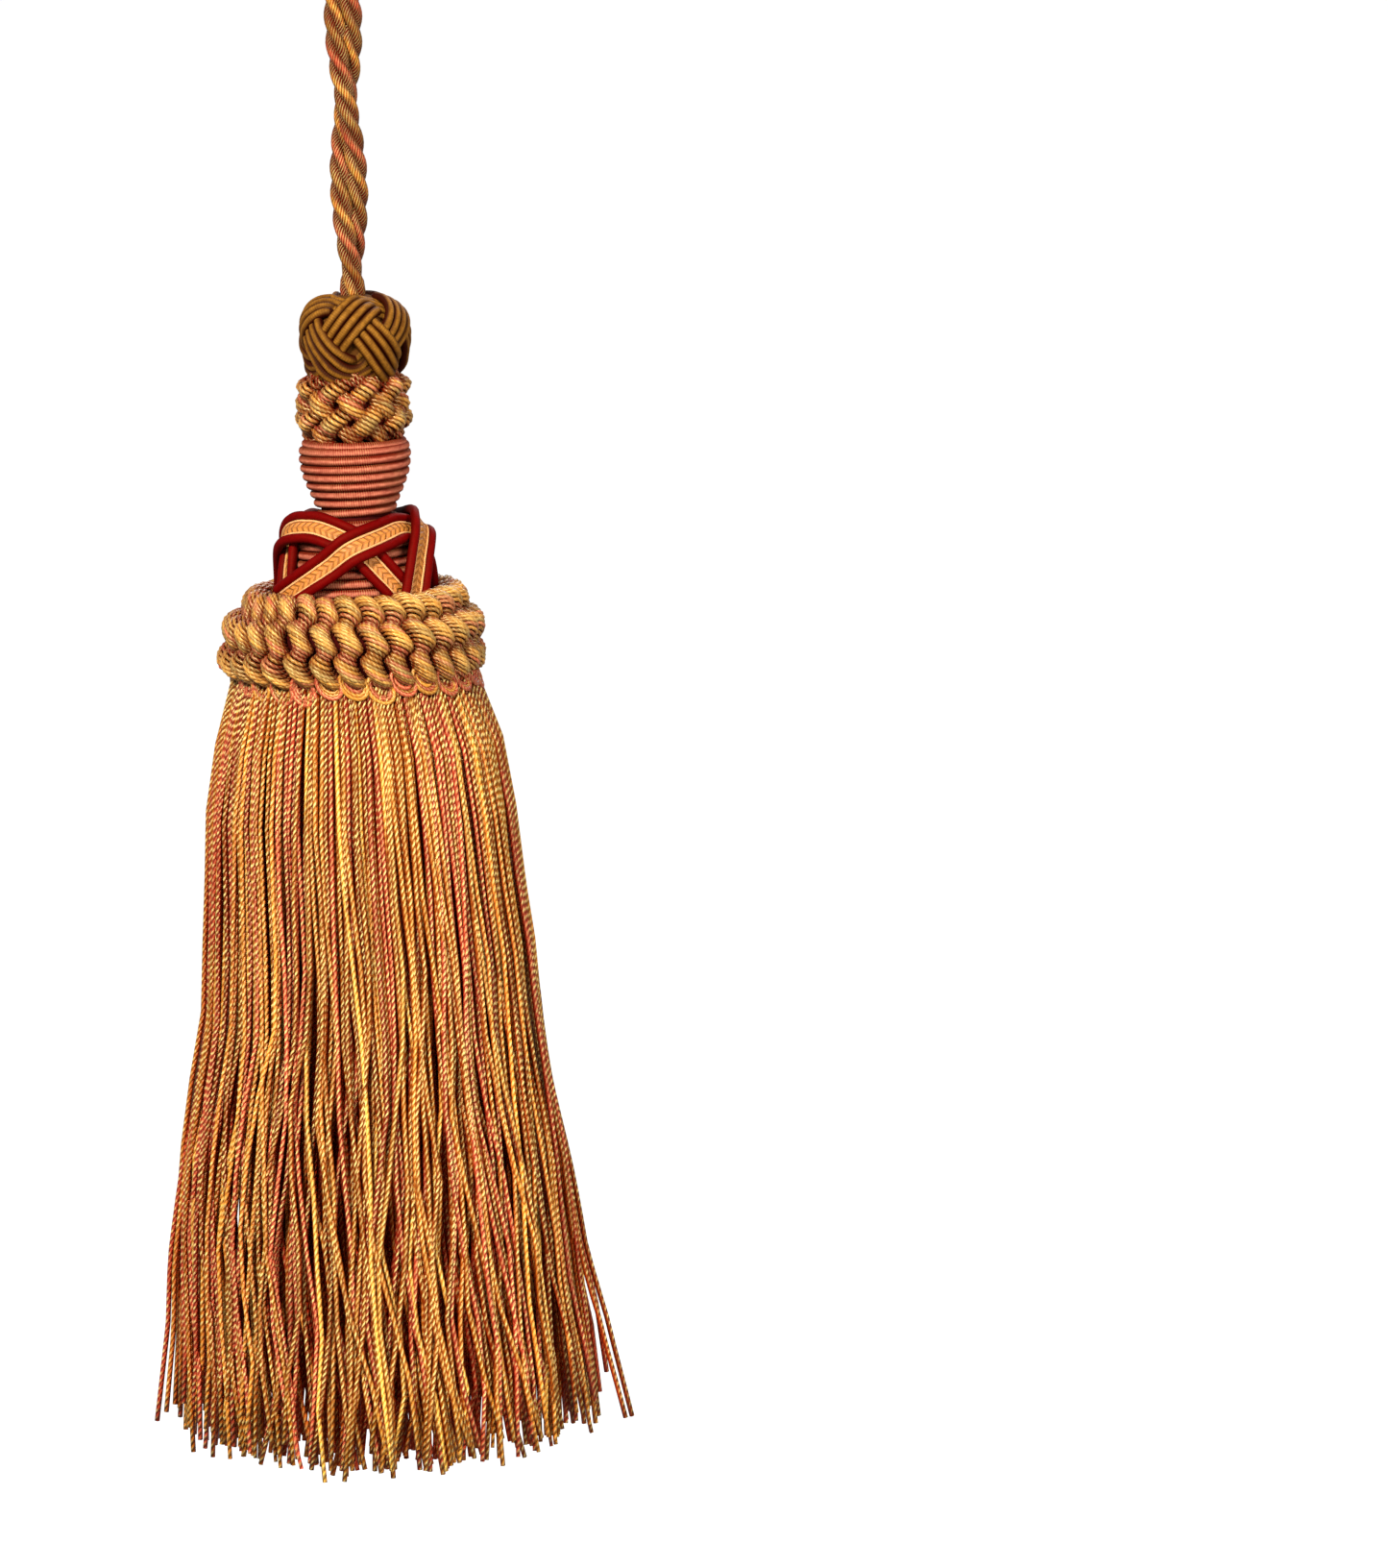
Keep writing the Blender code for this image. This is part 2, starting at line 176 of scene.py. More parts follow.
def run_along(route):
    """How far along its route each point is."""
    return np.concatenate(([0], np.cumsum(np.linalg.norm(np.diff(route, axis=0), axis=1))))


def carried_sides(route):
    """Tangent and two sides at each point, carried along the route without turning."""
    tangent = np.gradient(route, axis=0)
    tangent /= np.linalg.norm(tangent, axis=1, keepdims=True)
    side = route[0] * (1, 1, 0) + (1e-5, 2e-5, 1e-5)
    sides = []
    for ahead in tangent:
        side = side - ahead * side.dot(ahead)
        side /= np.linalg.norm(side)
        sides.append(side)
    sides = np.array(sides)
    return tangent, sides, np.cross(tangent, sides)


def yarn_mesh(name, yarns, corners, shade, bite=0.0):
    """One mesh of many yarns. Each yarn is a route, a radius in metres, a dye and perhaps a core.

    A dye is one colour or one per point. shade is the painted shade colour of the side that faces the core,
    which is the tassel's axis where none is given. bite, from 0 to about 1.3, is how far the painted shade
    creeps up the sides."""
    points, faces, uvs, dyes = [], [], [], []
    start = 0
    ring = np.radians(np.arange(corners) * 360 / corners)
    for route, radius, dye, *core in yarns:
        count = len(route)
        _, first, second = carried_sides(route)
        radius = np.broadcast_to(radius, count)[:, None, None]
        around = first[:, None] * np.cos(ring)[:, None] + second[:, None] * np.sin(ring)[:, None]
        points.append((route[:, None] + radius * around).reshape(-1, 3))
        out = route - core[0] if core else route * (1, 1, 0)
        out = out / np.linalg.norm(out, axis=1, keepdims=True)
        # painted shade: facing is the share of the lit dye, and the side towards the core gets the shade
        # colour
        facing = np.clip(((around * out[:, None]).sum(-1) + 0.5 - bite) / (1.3 - 0.8 * bite), 0, 1)
        facing = (facing * facing * (3 - 2 * facing))[..., None]
        lit = np.broadcast_to(dye, (count, 3))[:, None]
        dyes.append((shade * (1 - facing) + lit * facing).reshape(-1, 3))
        run = run_along(route) * chance.uniform(0.92, 1.08) + chance.uniform(0, 0.2)
        for i in range(count - 1):
            low, high = start + i * corners, start + (i + 1) * corners
            for j in range(corners):
                k = (j + 1) % corners
                faces.append((low + j, low + k, high + k, high + j))
                u0, u1 = j / corners, (j + 1) / corners
                uvs.extend(((u0, run[i]), (u1, run[i]), (u1, run[i + 1]), (u0, run[i + 1])))
        faces.append(tuple(range(start + corners - 1, start - 1, -1)))
        uvs.extend([(0.5, 0.0)] * corners)
        faces.append(tuple(range(start + (count - 1) * corners, start + count * corners)))
        uvs.extend([(0.5, run[-1])] * corners)
        start += count * corners
    mesh = bpy.data.meshes.new(name)
    mesh.from_pydata(np.concatenate(points), [], faces)
    mesh.uv_layers.new(name="lay").data.foreach_set("uv", np.ravel(uvs))
    # the dye attribute holds the yarn's dye with painted shade, and in places a painted highlight, mixed in
    colours = np.ones((start, 4))
    colours[:, :3] = np.concatenate(dyes)
    mesh.color_attributes.new("dye", "FLOAT_COLOR", "POINT").data.foreach_set("color", colours.ravel())
    mesh.shade_smooth()
    print(name, len(yarns), "yarns", len(faces), "faces")
    return put_in_scene(name, mesh)


# %% [markdown]
# ## Dyes
# The tassel mixes three viscose yarns, a bright gold, a brown olive and a rusty rose, with salmon gimp on
# the head and crimson cords on the bell. They are written as screen colours and turned into the linear
# values that Blender's shaders take. The colours named as shades, the rusty red and the darkest red are no
# dyes but painted shade for grooves, gaps, cores and the skirt's inside, and the pale gold is a painted
# highlight.

# %% Name the dyes


def dye(red, green, blue):
    """A screen colour, 0 to 255, as linear values."""
    share = np.array((red, green, blue)) / 255
    return np.where(share < 0.04045, share / 12.92, ((share + 0.055) / 1.055) ** 2.4)


GOLD = dye(218, 144, 46)
# pale gold is a painted highlight, laid on crests and bead middles
PAINTED_HIGHLIGHT_GOLD = dye(255, 226, 138)
BRIGHT_GOLD = dye(240, 180, 70)
OLIVE = dye(142, 90, 14)
ROSE = dye(198, 84, 56)
SALMON = dye(224, 124, 96)
OLIVE_GOLD = dye(150, 97, 28)
CRIMSON = dye(106, 0, 2)
TAN = dye(200, 124, 48)
TAN_SHADE = dye(166, 94, 30)
PIPING = dye(240, 176, 112)
# rusty red is painted shade, for the skirt's inner layers and the threads' inward sides
SKIRT_INNER_SHADE = dye(186, 34, 2)
# painted shade colours, for grooves, valleys and inward sides
RUST_SHADE = dye(104, 8, 0)
SALMON_SHADE = dye(100, 0, 0)
OLIVE_SHADE = dye(46, 4, 0)
CRIMSON_SHADE = dye(74, 0, 0)
# the darkest red is painted shade, for the cores in the gaps under the yarn
GAP_SHADE = dye(66, 3, 0)
print("gold as linear values", GOLD.round(3))

# %% [markdown]
# ## Helpers for finishes
# A finish is a tree of nodes. Most of them do one of four things: a sum, a smooth step from one range to
# another, a blend of two colours, or a relief. A short helper for each keeps the trees easy to read. The
# other two read the yarn's UV map and make a noise that is stretched along the yarn, like its fibres.

# %% Write the node helpers


def maths(tree, operation, first, second=0.0):
    node = tree.nodes.new("ShaderNodeMath")
    node.operation = operation
    for socket, value in zip(node.inputs, (first, second)):
        if isinstance(value, bpy.types.NodeSocket):
            tree.links.new(value, socket)
        else:
            socket.default_value = value
    return node.outputs[0]


def remap(tree, value, low, high, to_low=0.0, to_high=1.0):
    """A smooth step from to_low to to_high as the value goes from low to high."""
    node = tree.nodes.new("ShaderNodeMapRange")
    node.interpolation_type = "SMOOTHSTEP"
    tree.links.new(value, node.inputs["Value"])
    for name, number in (("From Min", low), ("From Max", high), ("To Min", to_low), ("To Max", to_high)):
        node.inputs[name].default_value = number
    return node.outputs["Result"]


def blend(tree, share, first, second, how="MIX"):
    """The second colour laid over the first by a share."""
    node = tree.nodes.new("ShaderNodeMix")
    node.data_type = "RGBA"
    node.blend_type = how
    for name, kind, value in (("Factor", "VALUE", share), ("A", "RGBA", first), ("B", "RGBA", second)):
        socket = next(s for s in node.inputs if s.name == name and s.type == kind)
        if isinstance(value, bpy.types.NodeSocket):
            tree.links.new(value, socket)
        else:
            socket.default_value = value if kind == "VALUE" else (*value, 1)
    return next(s for s in node.outputs if s.type == "RGBA")


def yarn_lay(tree):
    """The two values of the yarn's UV map: once round it, and metres along it."""
    uv = tree.nodes.new("ShaderNodeUVMap")
    uv.uv_map = "lay"
    split = tree.nodes.new("ShaderNodeSeparateXYZ")
    tree.links.new(uv.outputs["UV"], split.inputs["Vector"])
    return split.outputs["X"], split.outputs["Y"]


def fibres(tree, around, along, fineness):
    """Noise stretched along the yarn."""
    join = tree.nodes.new("ShaderNodeCombineXYZ")
    tree.links.new(maths(tree, "MULTIPLY", around, 9.0), join.inputs["X"])
    tree.links.new(maths(tree, "MULTIPLY", along, fineness), join.inputs["Y"])
    noise = tree.nodes.new("ShaderNodeTexNoise")
    noise.inputs["Scale"].default_value = 1.0
    noise.inputs["Detail"].default_value = 2.0
    tree.links.new(join.outputs["Vector"], noise.inputs["Vector"])
    return noise.outputs["Fac"]


def relief(tree, shader, height, distance):
    """A bump whose height is in millimetres."""
    bump = tree.nodes.new("ShaderNodeBump")
    bump.inputs["Strength"].default_value = 1.0
    bump.inputs["Distance"].default_value = distance * MM
    tree.links.new(height, bump.inputs["Height"])
    tree.links.new(bump.outputs["Normal"], shader.inputs["Normal"])


def new_finish(name, roughness, gloss):
    """A new material, its node tree and its shader."""
    material = bpy.data.materials.new(name)
    material.use_nodes = True
    shader = material.node_tree.nodes["Principled BSDF"]
    shader.inputs["Roughness"].default_value = roughness
    shader.inputs["Specular IOR Level"].default_value = gloss
    print("finish", name)
    return material, material.node_tree, shader


# %% [markdown]
# ## Finishes for twisted yarn
# Viscose yarn is glossy. Each ply is a rounded ridge that runs round the yarn like the stripe on a
# barber's pole. The valleys between plies are painted in a deep warm shade, standing in for the shade there
# and the light that bounces from ply to ply, and the plies' tops get a painted pale highlight. The stripe is
# worked out from the UV map: once round the yarn is one step, and one full turn of the lay is another. Its
# wave drives the painted shade and highlight, the relief and the gloss, and a fine noise that is stretched
# along the yarn stands for single fibres.

# %% Make the finishes
GLOSS_TINT = (1.0, 0.76, 0.36, 1)


def yarn_finish(name, plies, turn, valley, contrast, crest_highlight, depth, roughness, gloss, tints=(), highlight_dots=False):
    """A twisted yarn. turn is the length of one full turn of the lay in mm, and depth the relief's in mm.

    valley is the painted shade colour between plies and contrast how strongly it shows. crest is how strong
    the painted pale highlight on the plies' tops is, and tints colour one ply after another. dots keeps the
    painted highlight on the yarn's first side, which faces outwards on a hanging thread, so it shows as
    spots."""
    material, tree, shader = new_finish(name, roughness, gloss)
    around, along = yarn_lay(tree)
    wound = maths(tree, "SUBTRACT", around, maths(tree, "MULTIPLY", along, 1 / (turn * MM)))
    phase = maths(tree, "MULTIPLY", wound, math.pi * plies)
    ridge = maths(tree, "ABSOLUTE", maths(tree, "SINE", phase))
    fibre = fibres(tree, around, along, 900)
    wander = remap(tree, fibres(tree, 0.0, along, 110), 0.35, 0.65, 0.35, 1.15)
    # the dye attribute carries painted shade, and in places painted highlights, as well as the dye
    attribute = tree.nodes.new("ShaderNodeAttribute")
    attribute.attribute_name = "dye"
    colour = attribute.outputs["Color"]
    if tints:
        ramp = tree.nodes.new("ShaderNodeValToRGB")
        ramp.color_ramp.interpolation = "CONSTANT"
        for i, tint in enumerate(tints):
            if i > 1:
                ramp.color_ramp.elements.new(i / len(tints))
            ramp.color_ramp.elements[i].position = i / len(tints)
            ramp.color_ramp.elements[i].color = (*tint, 1)
        step = maths(tree, "FRACT", maths(tree, "MULTIPLY", wound, plies / len(tints)))
        tree.links.new(step, ramp.inputs["Fac"])
        colour = blend(tree, 1.0, colour, ramp.outputs["Color"], "MULTIPLY")
    # painted shade: the valley colour fills the grooves between plies
    base = blend(tree, remap(tree, ridge, 0.0, 0.75, 1 - contrast, 1.0), valley, colour)
    # painted highlight: pale gold on the plies' tops, stronger and weaker along the yarn by a slow noise
    shine = maths(tree, "MULTIPLY", remap(tree, ridge, 0.75, 1.0, 0.0, crest_highlight), wander)
    if highlight_dots:
        # the painted highlight is kept to the thread's outward side
        outward = maths(tree, "COSINE", maths(tree, "MULTIPLY", around, 2 * math.pi))
        shine = maths(tree, "MULTIPLY", shine, remap(tree, outward, 0.1, 1.0))
    base = blend(tree, shine, base, PAINTED_HIGHLIGHT_GOLD)
    base = blend(tree, remap(tree, fibre, 0.35, 0.7, 0.0, 0.4), base, valley)
    tree.links.new(base, shader.inputs["Base Color"])
    height = maths(tree, "ADD", ridge, maths(tree, "MULTIPLY", fibre, 0.15))
    relief(tree, shader, height, depth)
    shader.inputs["Specular Tint"].default_value = GLOSS_TINT
    return material


def plain_finish(name, colour, roughness):
    """A dark or pale ground that hardly shows."""
    material, tree, shader = new_finish(name, roughness, 0.1)
    where = tree.nodes.new("ShaderNodeTexCoord")
    noise = tree.nodes.new("ShaderNodeTexNoise")
    noise.inputs["Scale"].default_value = 900
    tree.links.new(where.outputs["Object"], noise.inputs["Vector"])
    base = blend(tree, remap(tree, noise.outputs["Fac"], 0.3, 0.7), colour * 0.6, colour)
    tree.links.new(base, shader.inputs["Base Color"])
    relief(tree, shader, noise.outputs["Fac"], 0.1)
    return material


def dress(obj, material, slot, *nodes):
    """Gives a piece its finish and its body, and hides the solids it stands for. slot is not used."""
    obj.data.materials.clear()
    obj.data.materials.append(material)
    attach(obj, "root")
    if nodes:
        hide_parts(*nodes)


skirt_yarn = yarn_finish("skirt_yarn", 2, 3.0, RUST_SHADE, 0.55, 1.0, 0.2, 0.34, 0.6, highlight_dots=True)
inner_yarn = yarn_finish("inner_yarn", 2, 3.0, RUST_SHADE, 0.4, 0.4, 0.2, 0.5, 0.15, highlight_dots=True)
rope_tints = ((1.0, 0.66, 0.6), (1.0, 1.0, 1.0), (0.7, 0.75, 0.5))
rope_yarn = yarn_finish("rope_yarn", 9, 7.0, RUST_SHADE, 0.75, 0.35, 0.14, 0.4, 0.3, rope_tints)
floss = yarn_finish("floss", 3, 3.0, RUST_SHADE, 0.18, 0.24, 0.02, 0.34, 0.8)
knot_gimp = yarn_finish("knot_gimp", 1, 0.45, OLIVE_SHADE, 0.2, 0.0, 0.04, 0.6, 0.15)
head_gimp = yarn_finish("head_gimp", 1, 0.42, SALMON_SHADE, 0.2, 0.16, 0.04, 0.7, 0.06)
crimson_cord = yarn_finish("crimson_cord", 1, 0.45, CRIMSON_SHADE, 0.3, 0.0, 0.015, 0.6, 0.06)
# a dark ground of painted shade for the cores, seen only in the gaps under the yarn
ground = plain_finish("ground", GAP_SHADE, 0.9)

# %% [markdown]
# ## The hanging cord
# One rope of three plies is doubled, its two legs are laid round each other, and the bight is left open
# as a loop for the hook. The route is worked out as in the solid model: two soft legs pressed together
# that turn once in 66 mm, then part into a round loop. Each ply is a yarn of its own that winds round the
# rope's middle against the clock, so the rope is real geometry and not a pattern.

# %% Lay the rope
ROPE_LAY = 16.5
PLY_AWAY = 1.1
PLY_RADIUS = 1.06
LEG_OFFSET = 1.7
LEG_LAY = 66.0
LEG_FOOT_ANGLE = 208.0
FOOT_STRAIGHT = 2.0
LOOP_START = 59.0
LOOP_RADIUS = 8.0
LOOP_CENTRE = 81.0
UNWIND = 4.0
FOOT_GAP = 0.3
FOOT_BURIED = 1.5
LEG_STEPS = 60
PARTING_STEPS = 24
ARC_STEPS = 16


def leg_angle(height, side):
    over = min(max(height - LOOP_START, 0.0), UNWIND)
    turning = min(height, LOOP_START) + over - over**2 / (2 * UNWIND)
    return LEG_FOOT_ANGLE + 180 * side - 360 * turning / LEG_LAY


def half_route():
    """Rows of height above the knot and distance from the axis, from a foot to the loop's top."""
    rows = [(-FOOT_BURIED, LEG_OFFSET), (FOOT_GAP, LEG_OFFSET)]
    rise = LOOP_START - FOOT_STRAIGHT
    rows += [(FOOT_STRAIGHT + rise * step / LEG_STEPS, LEG_OFFSET) for step in range(LEG_STEPS)]
    for step in range(PARTING_STEPS):
        share = step / PARTING_STEPS
        spread = LEG_OFFSET + (LOOP_RADIUS - LEG_OFFSET) * math.sin(math.radians(90 * share)) ** 2
        rows.append((LOOP_START + (LOOP_CENTRE - LOOP_START) * share, spread))
    for step in range(ARC_STEPS + 1):
        turn = math.radians(90 * step / ARC_STEPS)
        rows.append((LOOP_CENTRE + LOOP_RADIUS * math.sin(turn), LOOP_RADIUS * math.cos(turn)))
    return rows


def leg(side):
    turned = [(leg_angle(max(height, FOOT_STRAIGHT), side), out, height) for height, out in half_route()]
    return [places(angle, out, -height) for angle, out, height in turned]


rope_route = np.array(leg(0) + leg(1)[-2::-1])


def ply_routes(route, plies, away, lay, hand, start=0.0):
    """Routes of plies that wind round a rope's middle."""
    _, first, second = carried_sides(route)
    run = run_along(route) / MM
    found = []
    for ply in range(plies):
        turn = hand * 2 * math.pi * run / lay + 2 * math.pi * ply / plies + start
        across = first * np.cos(turn)[:, None] + second * np.sin(turn)[:, None]
        found.append(route + away * MM * across)
    return found


rope_yarns = []
for route, colour in zip(ply_routes(rope_route, 3, PLY_AWAY, ROPE_LAY, -1, 0.4), (GOLD, ROSE, OLIVE)):
    rope_yarns.append((route, PLY_RADIUS * MM, colour, rope_route))
# painted shade on the plies' sides that face the rope's middle
rope = yarn_mesh("rope_loop", rope_yarns, 12, RUST_SHADE * 0.5, 1.15)
dress(rope, rope_yarn, "hanging_cord", "hanging_cord")

# %% [markdown]
# ## The knot
# A Turk's head of four gimp cords side by side, wound round a small barrel of olive gold. Its track is a
# wave that goes three times round the barrel and makes five bights, and it passes over and under itself
# by turns. The four cords follow the same track, each shifted sideways on the barrel's surface.

# %% Tie the Turk's head
KNOT_SIDE = (
    (4.9, 0.0),
    (6.8, 0.9),
    (8.6, 2.3),
    (10.0, 4.1),
    (10.8, 6.2),
    (11.0, 8.4),
    (10.7, 10.8),
    (10.2, 13.0),
    (10.0, 15.2),
    (9.5, 16.8),
    (9.0, 17.8),
)
KNOT_BIGHTS = 5
KNOT_LEADS = 3
KNOT_REACH = 0.40
KNOT_SWING = 30
KNOT_STEPS = 421
KNOT_CORDS = 4
KNOT_CORD = 0.95
KNOT_SPACING = 2.03 * KNOT_CORD
KNOT_SINK = 1.35
KNOT_RIDE = 0.95
KNOT_MIDDLE = 8.5


def side_curve(rows, count=400):
    """A side's profile as even steps of its length: radius, depth and the outward lean."""
    rows = smooth_rows(rows, count)
    steps = run_along(rows)
    even = np.linspace(0, steps[-1], count)
    radius, depth = (np.interp(even, steps, rows[:, k]) for k in (0, 1))
    slope_r, slope_d = np.gradient(radius, even), np.gradient(depth, even)
    return even, radius, depth, slope_d, -slope_r


def on_side(curve, angle, run, lift):
    """Places at a lift above a turned side, run millimetres down its profile."""
    even, radius, depth, out, down = curve
    r, d, n_r, n_d = (np.interp(run, even, column) for column in (radius, depth, out, down))
    length = np.hypot(n_r, n_d)
    return places(angle, r + lift * n_r / length, d + lift * n_d / length)


knot_curve = side_curve(KNOT_SIDE)
knot_length = knot_curve[0][-1]
run = np.linspace(0, 360 * KNOT_LEADS, KNOT_STEPS)
swing = np.radians(run * KNOT_BIGHTS / KNOT_LEADS + KNOT_SWING)
down = knot_length * (0.5 - KNOT_REACH * np.sin(swing))
ride = np.cos(2 * (swing - math.radians(KNOT_SWING)))
barrel = np.interp(down, knot_curve[0], knot_curve[1])
step_round = np.gradient(np.radians(run)) * barrel
step_down = np.gradient(down)
step = np.hypot(step_round, step_down)
knot_yarns = []
for cord in range(KNOT_CORDS):
    shift = (cord - (KNOT_CORDS - 1) / 2) * KNOT_SPACING
    shift_down = down - shift * step_round / step
    shift_round = np.degrees(shift * step_down / step / barrel)
    lift = -KNOT_SINK + KNOT_RIDE * ride
    shift_down = np.clip(shift_down, 0.2, knot_length - 0.2)
    route = on_side(knot_curve, run + shift_round, shift_down, lift)
    knot_yarns.append((route, KNOT_CORD * MM, OLIVE_GOLD, places(0, 0, KNOT_MIDDLE)))
# painted shade on the cords' sides that face the knot's middle
knot = yarn_mesh("turks_head", knot_yarns, 12, OLIVE_SHADE, 1.1)
dress(knot, knot_gimp, "knot", "knot")

# %% [markdown]
# ## Cores
# Under the yarn there is always something dark to close the gaps, painted in a dark shade colour that
# stands in for the shade there: the barrel of the knot, the drum under the net, and the turned head. Each
# is drawn as a lathe would cut it: a circle is added, then extruded downwards and scaled, ring by ring, and
# both ends are filled.

# %% Turn the cores


def turned_core(name, rows, material, slot, *nodes):
    """A closed core from rows of radius and depth, extruded ring by ring."""
    radius, depth = rows[0]
    top = places(0, 0, depth)
    bpy.ops.mesh.primitive_circle_add(vertices=48, radius=radius * MM, fill_type="NGON", location=top)
    obj = bpy.context.object
    obj.name = name
    bpy.ops.object.transform_apply(location=True, rotation=True, scale=True)
    bpy.ops.object.mode_set(mode="EDIT")
    bpy.ops.mesh.select_all(action="SELECT")
    for (wide, upper), (wider, lower) in zip(rows, rows[1:]):
        drop = (0, 0, -(lower - upper) * MM)
        bpy.ops.mesh.extrude_region_move(TRANSFORM_OT_translate={"value": drop})
        bpy.ops.transform.resize(value=(wider / wide, wider / wide, 1))
    bpy.ops.mesh.select_all(action="SELECT")
    bpy.ops.mesh.normals_make_consistent(inside=False)
    bpy.ops.object.mode_set(mode="OBJECT")
    obj.data.shade_smooth()
    dress(obj, material, slot, *nodes)
    obj.select_set(False)
    print(name, len(obj.data.polygons), "faces")
    return obj


KNOT_CORE = [(radius - 1.7, depth + 0.8 - 0.05 * depth) for radius, depth in KNOT_SIDE]
knot_ground = plain_finish("knot_ground", dye(98, 56, 14), 0.9)
turned_core("knot_core", KNOT_CORE, knot_ground, "knot")

COLLAR_TOP = 16.8
COLLAR_BOTTOM = 28.6
COLLAR_CORE = ((7.6, COLLAR_TOP - 0.6), (8.0, COLLAR_TOP + 1), (8.4, COLLAR_BOTTOM - 1), (8.4, COLLAR_BOTTOM))
turned_core("collar_core", COLLAR_CORE, ground, "collar")

# %% [markdown]
# ## The netted collar
# Between knot and head sits a net of thick soft rope in two sets of slants that pass over and under each
# other, with dark holes between. The slants that fall to the right are eight yarns twisted together. The
# others are bullion, a yarn coiled into a soft spring, whose turns are tipped so that they fall to the
# right as well.

# %% Net the collar
COLLAR_SIDE = ((7.6, 14.6), (8.6, 17.0), (9.0, 22.0), (9.1, 27.0), (8.8, 29.4), (7.8, 31.4))
NET_CELLS = 9
NET_CELL_HEIGHT = 6.6
NET_LIFT = 1.1
NET_ROPE = 1.15
NET_YARN = 0.45
NET_YARNS = 8
NET_ROPE_LAY = 15.0
NET_COIL = 1.5
NET_COIL_YARN = 0.42
NET_COIL_TURNS = 24
NET_TUCK = 2.2
# the net is painted in full shade inside this radius, its painted shade fades out over the next width, and
# the top gets a painted highlight of this strength
NET_DEEP = 9.0
NET_SHADED = 2.2
NET_HIGHLIGHT = 0.2
NET_MIDDLE = places(0, 0, 24)[:2]
COIL_STEPS = 10
COIL_TIP = 26
net_curve = side_curve(COLLAR_SIDE)


def mixed_dye(weights):
    """Gold, olive or rose, by their weights, and a little lighter or darker than the next."""
    colour = chance.choices((GOLD, OLIVE, ROSE), weights)[0]
    return colour * chance.uniform(0.75, 1.2)


def turning_dyes(table, turns, count):
    """Dyes for count points along a coil, which go over from one row of a table to the next at each turn."""
    at = np.linspace(0, 1, count) * turns
    i = at.astype(int)
    part = np.clip((at - i) * 3 - 1, 0, 1)[:, None]
    table = np.array(table)
    return table[i] * (1 - part) + table[i + 1] * part


def painted_shade_and_highlight(colours, share, highlight_strength):
    """Dyes going over into a painted deep shade where share falls to 0, and towards a painted pale gold
    highlight near 1.
    """
    share = np.clip(share, 0, 1)[:, None]
    pale = highlight_strength * share**4
    return RUST_SHADE * (1 - share) + (colours * (1 - pale) + PAINTED_HIGHLIGHT_GOLD * pale) * share


def bullion(curve, angle, run, lift, wide, turns, tip):
    """A yarn coiled round a route on a turned side, and how far each point stands out, from -1 to 1.

    tip is how far the turns fall to the right, in degrees."""
    middle = on_side(curve, angle, run, lift)
    out = on_side(curve, angle, run, lift + 1) - middle
    down = on_side(curve, angle, run + 0.5, lift) - on_side(curve, angle, run - 0.5, lift)
    right = np.zeros_like(middle)
    heading = np.radians(angle - 90)
    right[:, 0], right[:, 1] = -np.sin(heading) * MM, np.cos(heading) * MM
    turn = -2 * math.pi * turns * np.linspace(0, 1, len(middle))
    level = np.cos(turn)[:, None] * (right + math.tan(math.radians(tip)) * down)
    return middle + np.reshape(wide, (-1, 1)) * (level + np.sin(turn)[:, None] * out), np.sin(turn)


net_top = np.interp(COLLAR_TOP - 1.2, net_curve[2], net_curve[0])
net_foot = np.interp(COLLAR_BOTTOM + 1.2, net_curve[2], net_curve[0])


def tucked(rows):
    """How far the net dives in at its two edges."""
    return NET_TUCK * (np.clip(1 - 2 * rows, 0, 1) + np.clip(1 - 2 * (rows[-1] - rows), 0, 1))


def net_dyes_with_painted_light(colours, route):
    """The net's dyes, painted in deep shade where the yarn lies low and with a painted highlight where it
    stands proud.
    """
    proud = np.linalg.norm(route[:, :2] - NET_MIDDLE, axis=1) / MM - NET_DEEP
    return painted_shade_and_highlight(colours, proud / NET_SHADED, NET_HIGHLIGHT)


net_yarns = []
for cell in range(NET_CELLS):
    down = np.linspace(net_top, net_foot, 26)
    rows = (down - net_top) / NET_CELL_HEIGHT
    lift = NET_LIFT * np.cos(2 * math.pi * rows) - tucked(rows)
    slant = on_side(net_curve, 360 * (cell + rows) / NET_CELLS, down, lift)
    for route in ply_routes(slant, NET_YARNS, NET_ROPE, NET_ROPE_LAY, -1, 0.9 * cell):
        net_yarns.append((route, NET_YARN * MM, net_dyes_with_painted_light(mixed_dye((6, 4, 3)), route), slant))
    down = np.linspace(net_top, net_foot, NET_COIL_TURNS * COIL_STEPS)
    rows = (down - net_top) / NET_CELL_HEIGHT
    angle = 360 * (cell - rows) / NET_CELLS + 2.0 * np.sin(2 * math.pi * rows + cell)
    lift = -NET_LIFT * np.cos(2 * math.pi * rows) - tucked(rows)
    coil, _ = bullion(net_curve, angle, down, lift, NET_COIL, NET_COIL_TURNS, COIL_TIP)
    table = [mixed_dye((6, 5, 2)) for _ in range(NET_COIL_TURNS + 2)]
    colours = turning_dyes(table, NET_COIL_TURNS, len(coil))
    net_yarns.append((coil, NET_COIL_YARN * MM, net_dyes_with_painted_light(colours, coil)))
# painted shade on the net yarns' inward sides
net = yarn_mesh("collar_net", net_yarns, 6, RUST_SHADE, 0.35)
dress(net, floss, "collar", "collar")

# %% [markdown]
# ## The wound head
# The turned head is a ball, a waist and a bell. One long gimp cord is wound on it from top to bottom
# with its turns touching. A stack of rings would look almost the same, but the real cord climbs by its
# own thickness on every turn, so it is swept as one long screw.

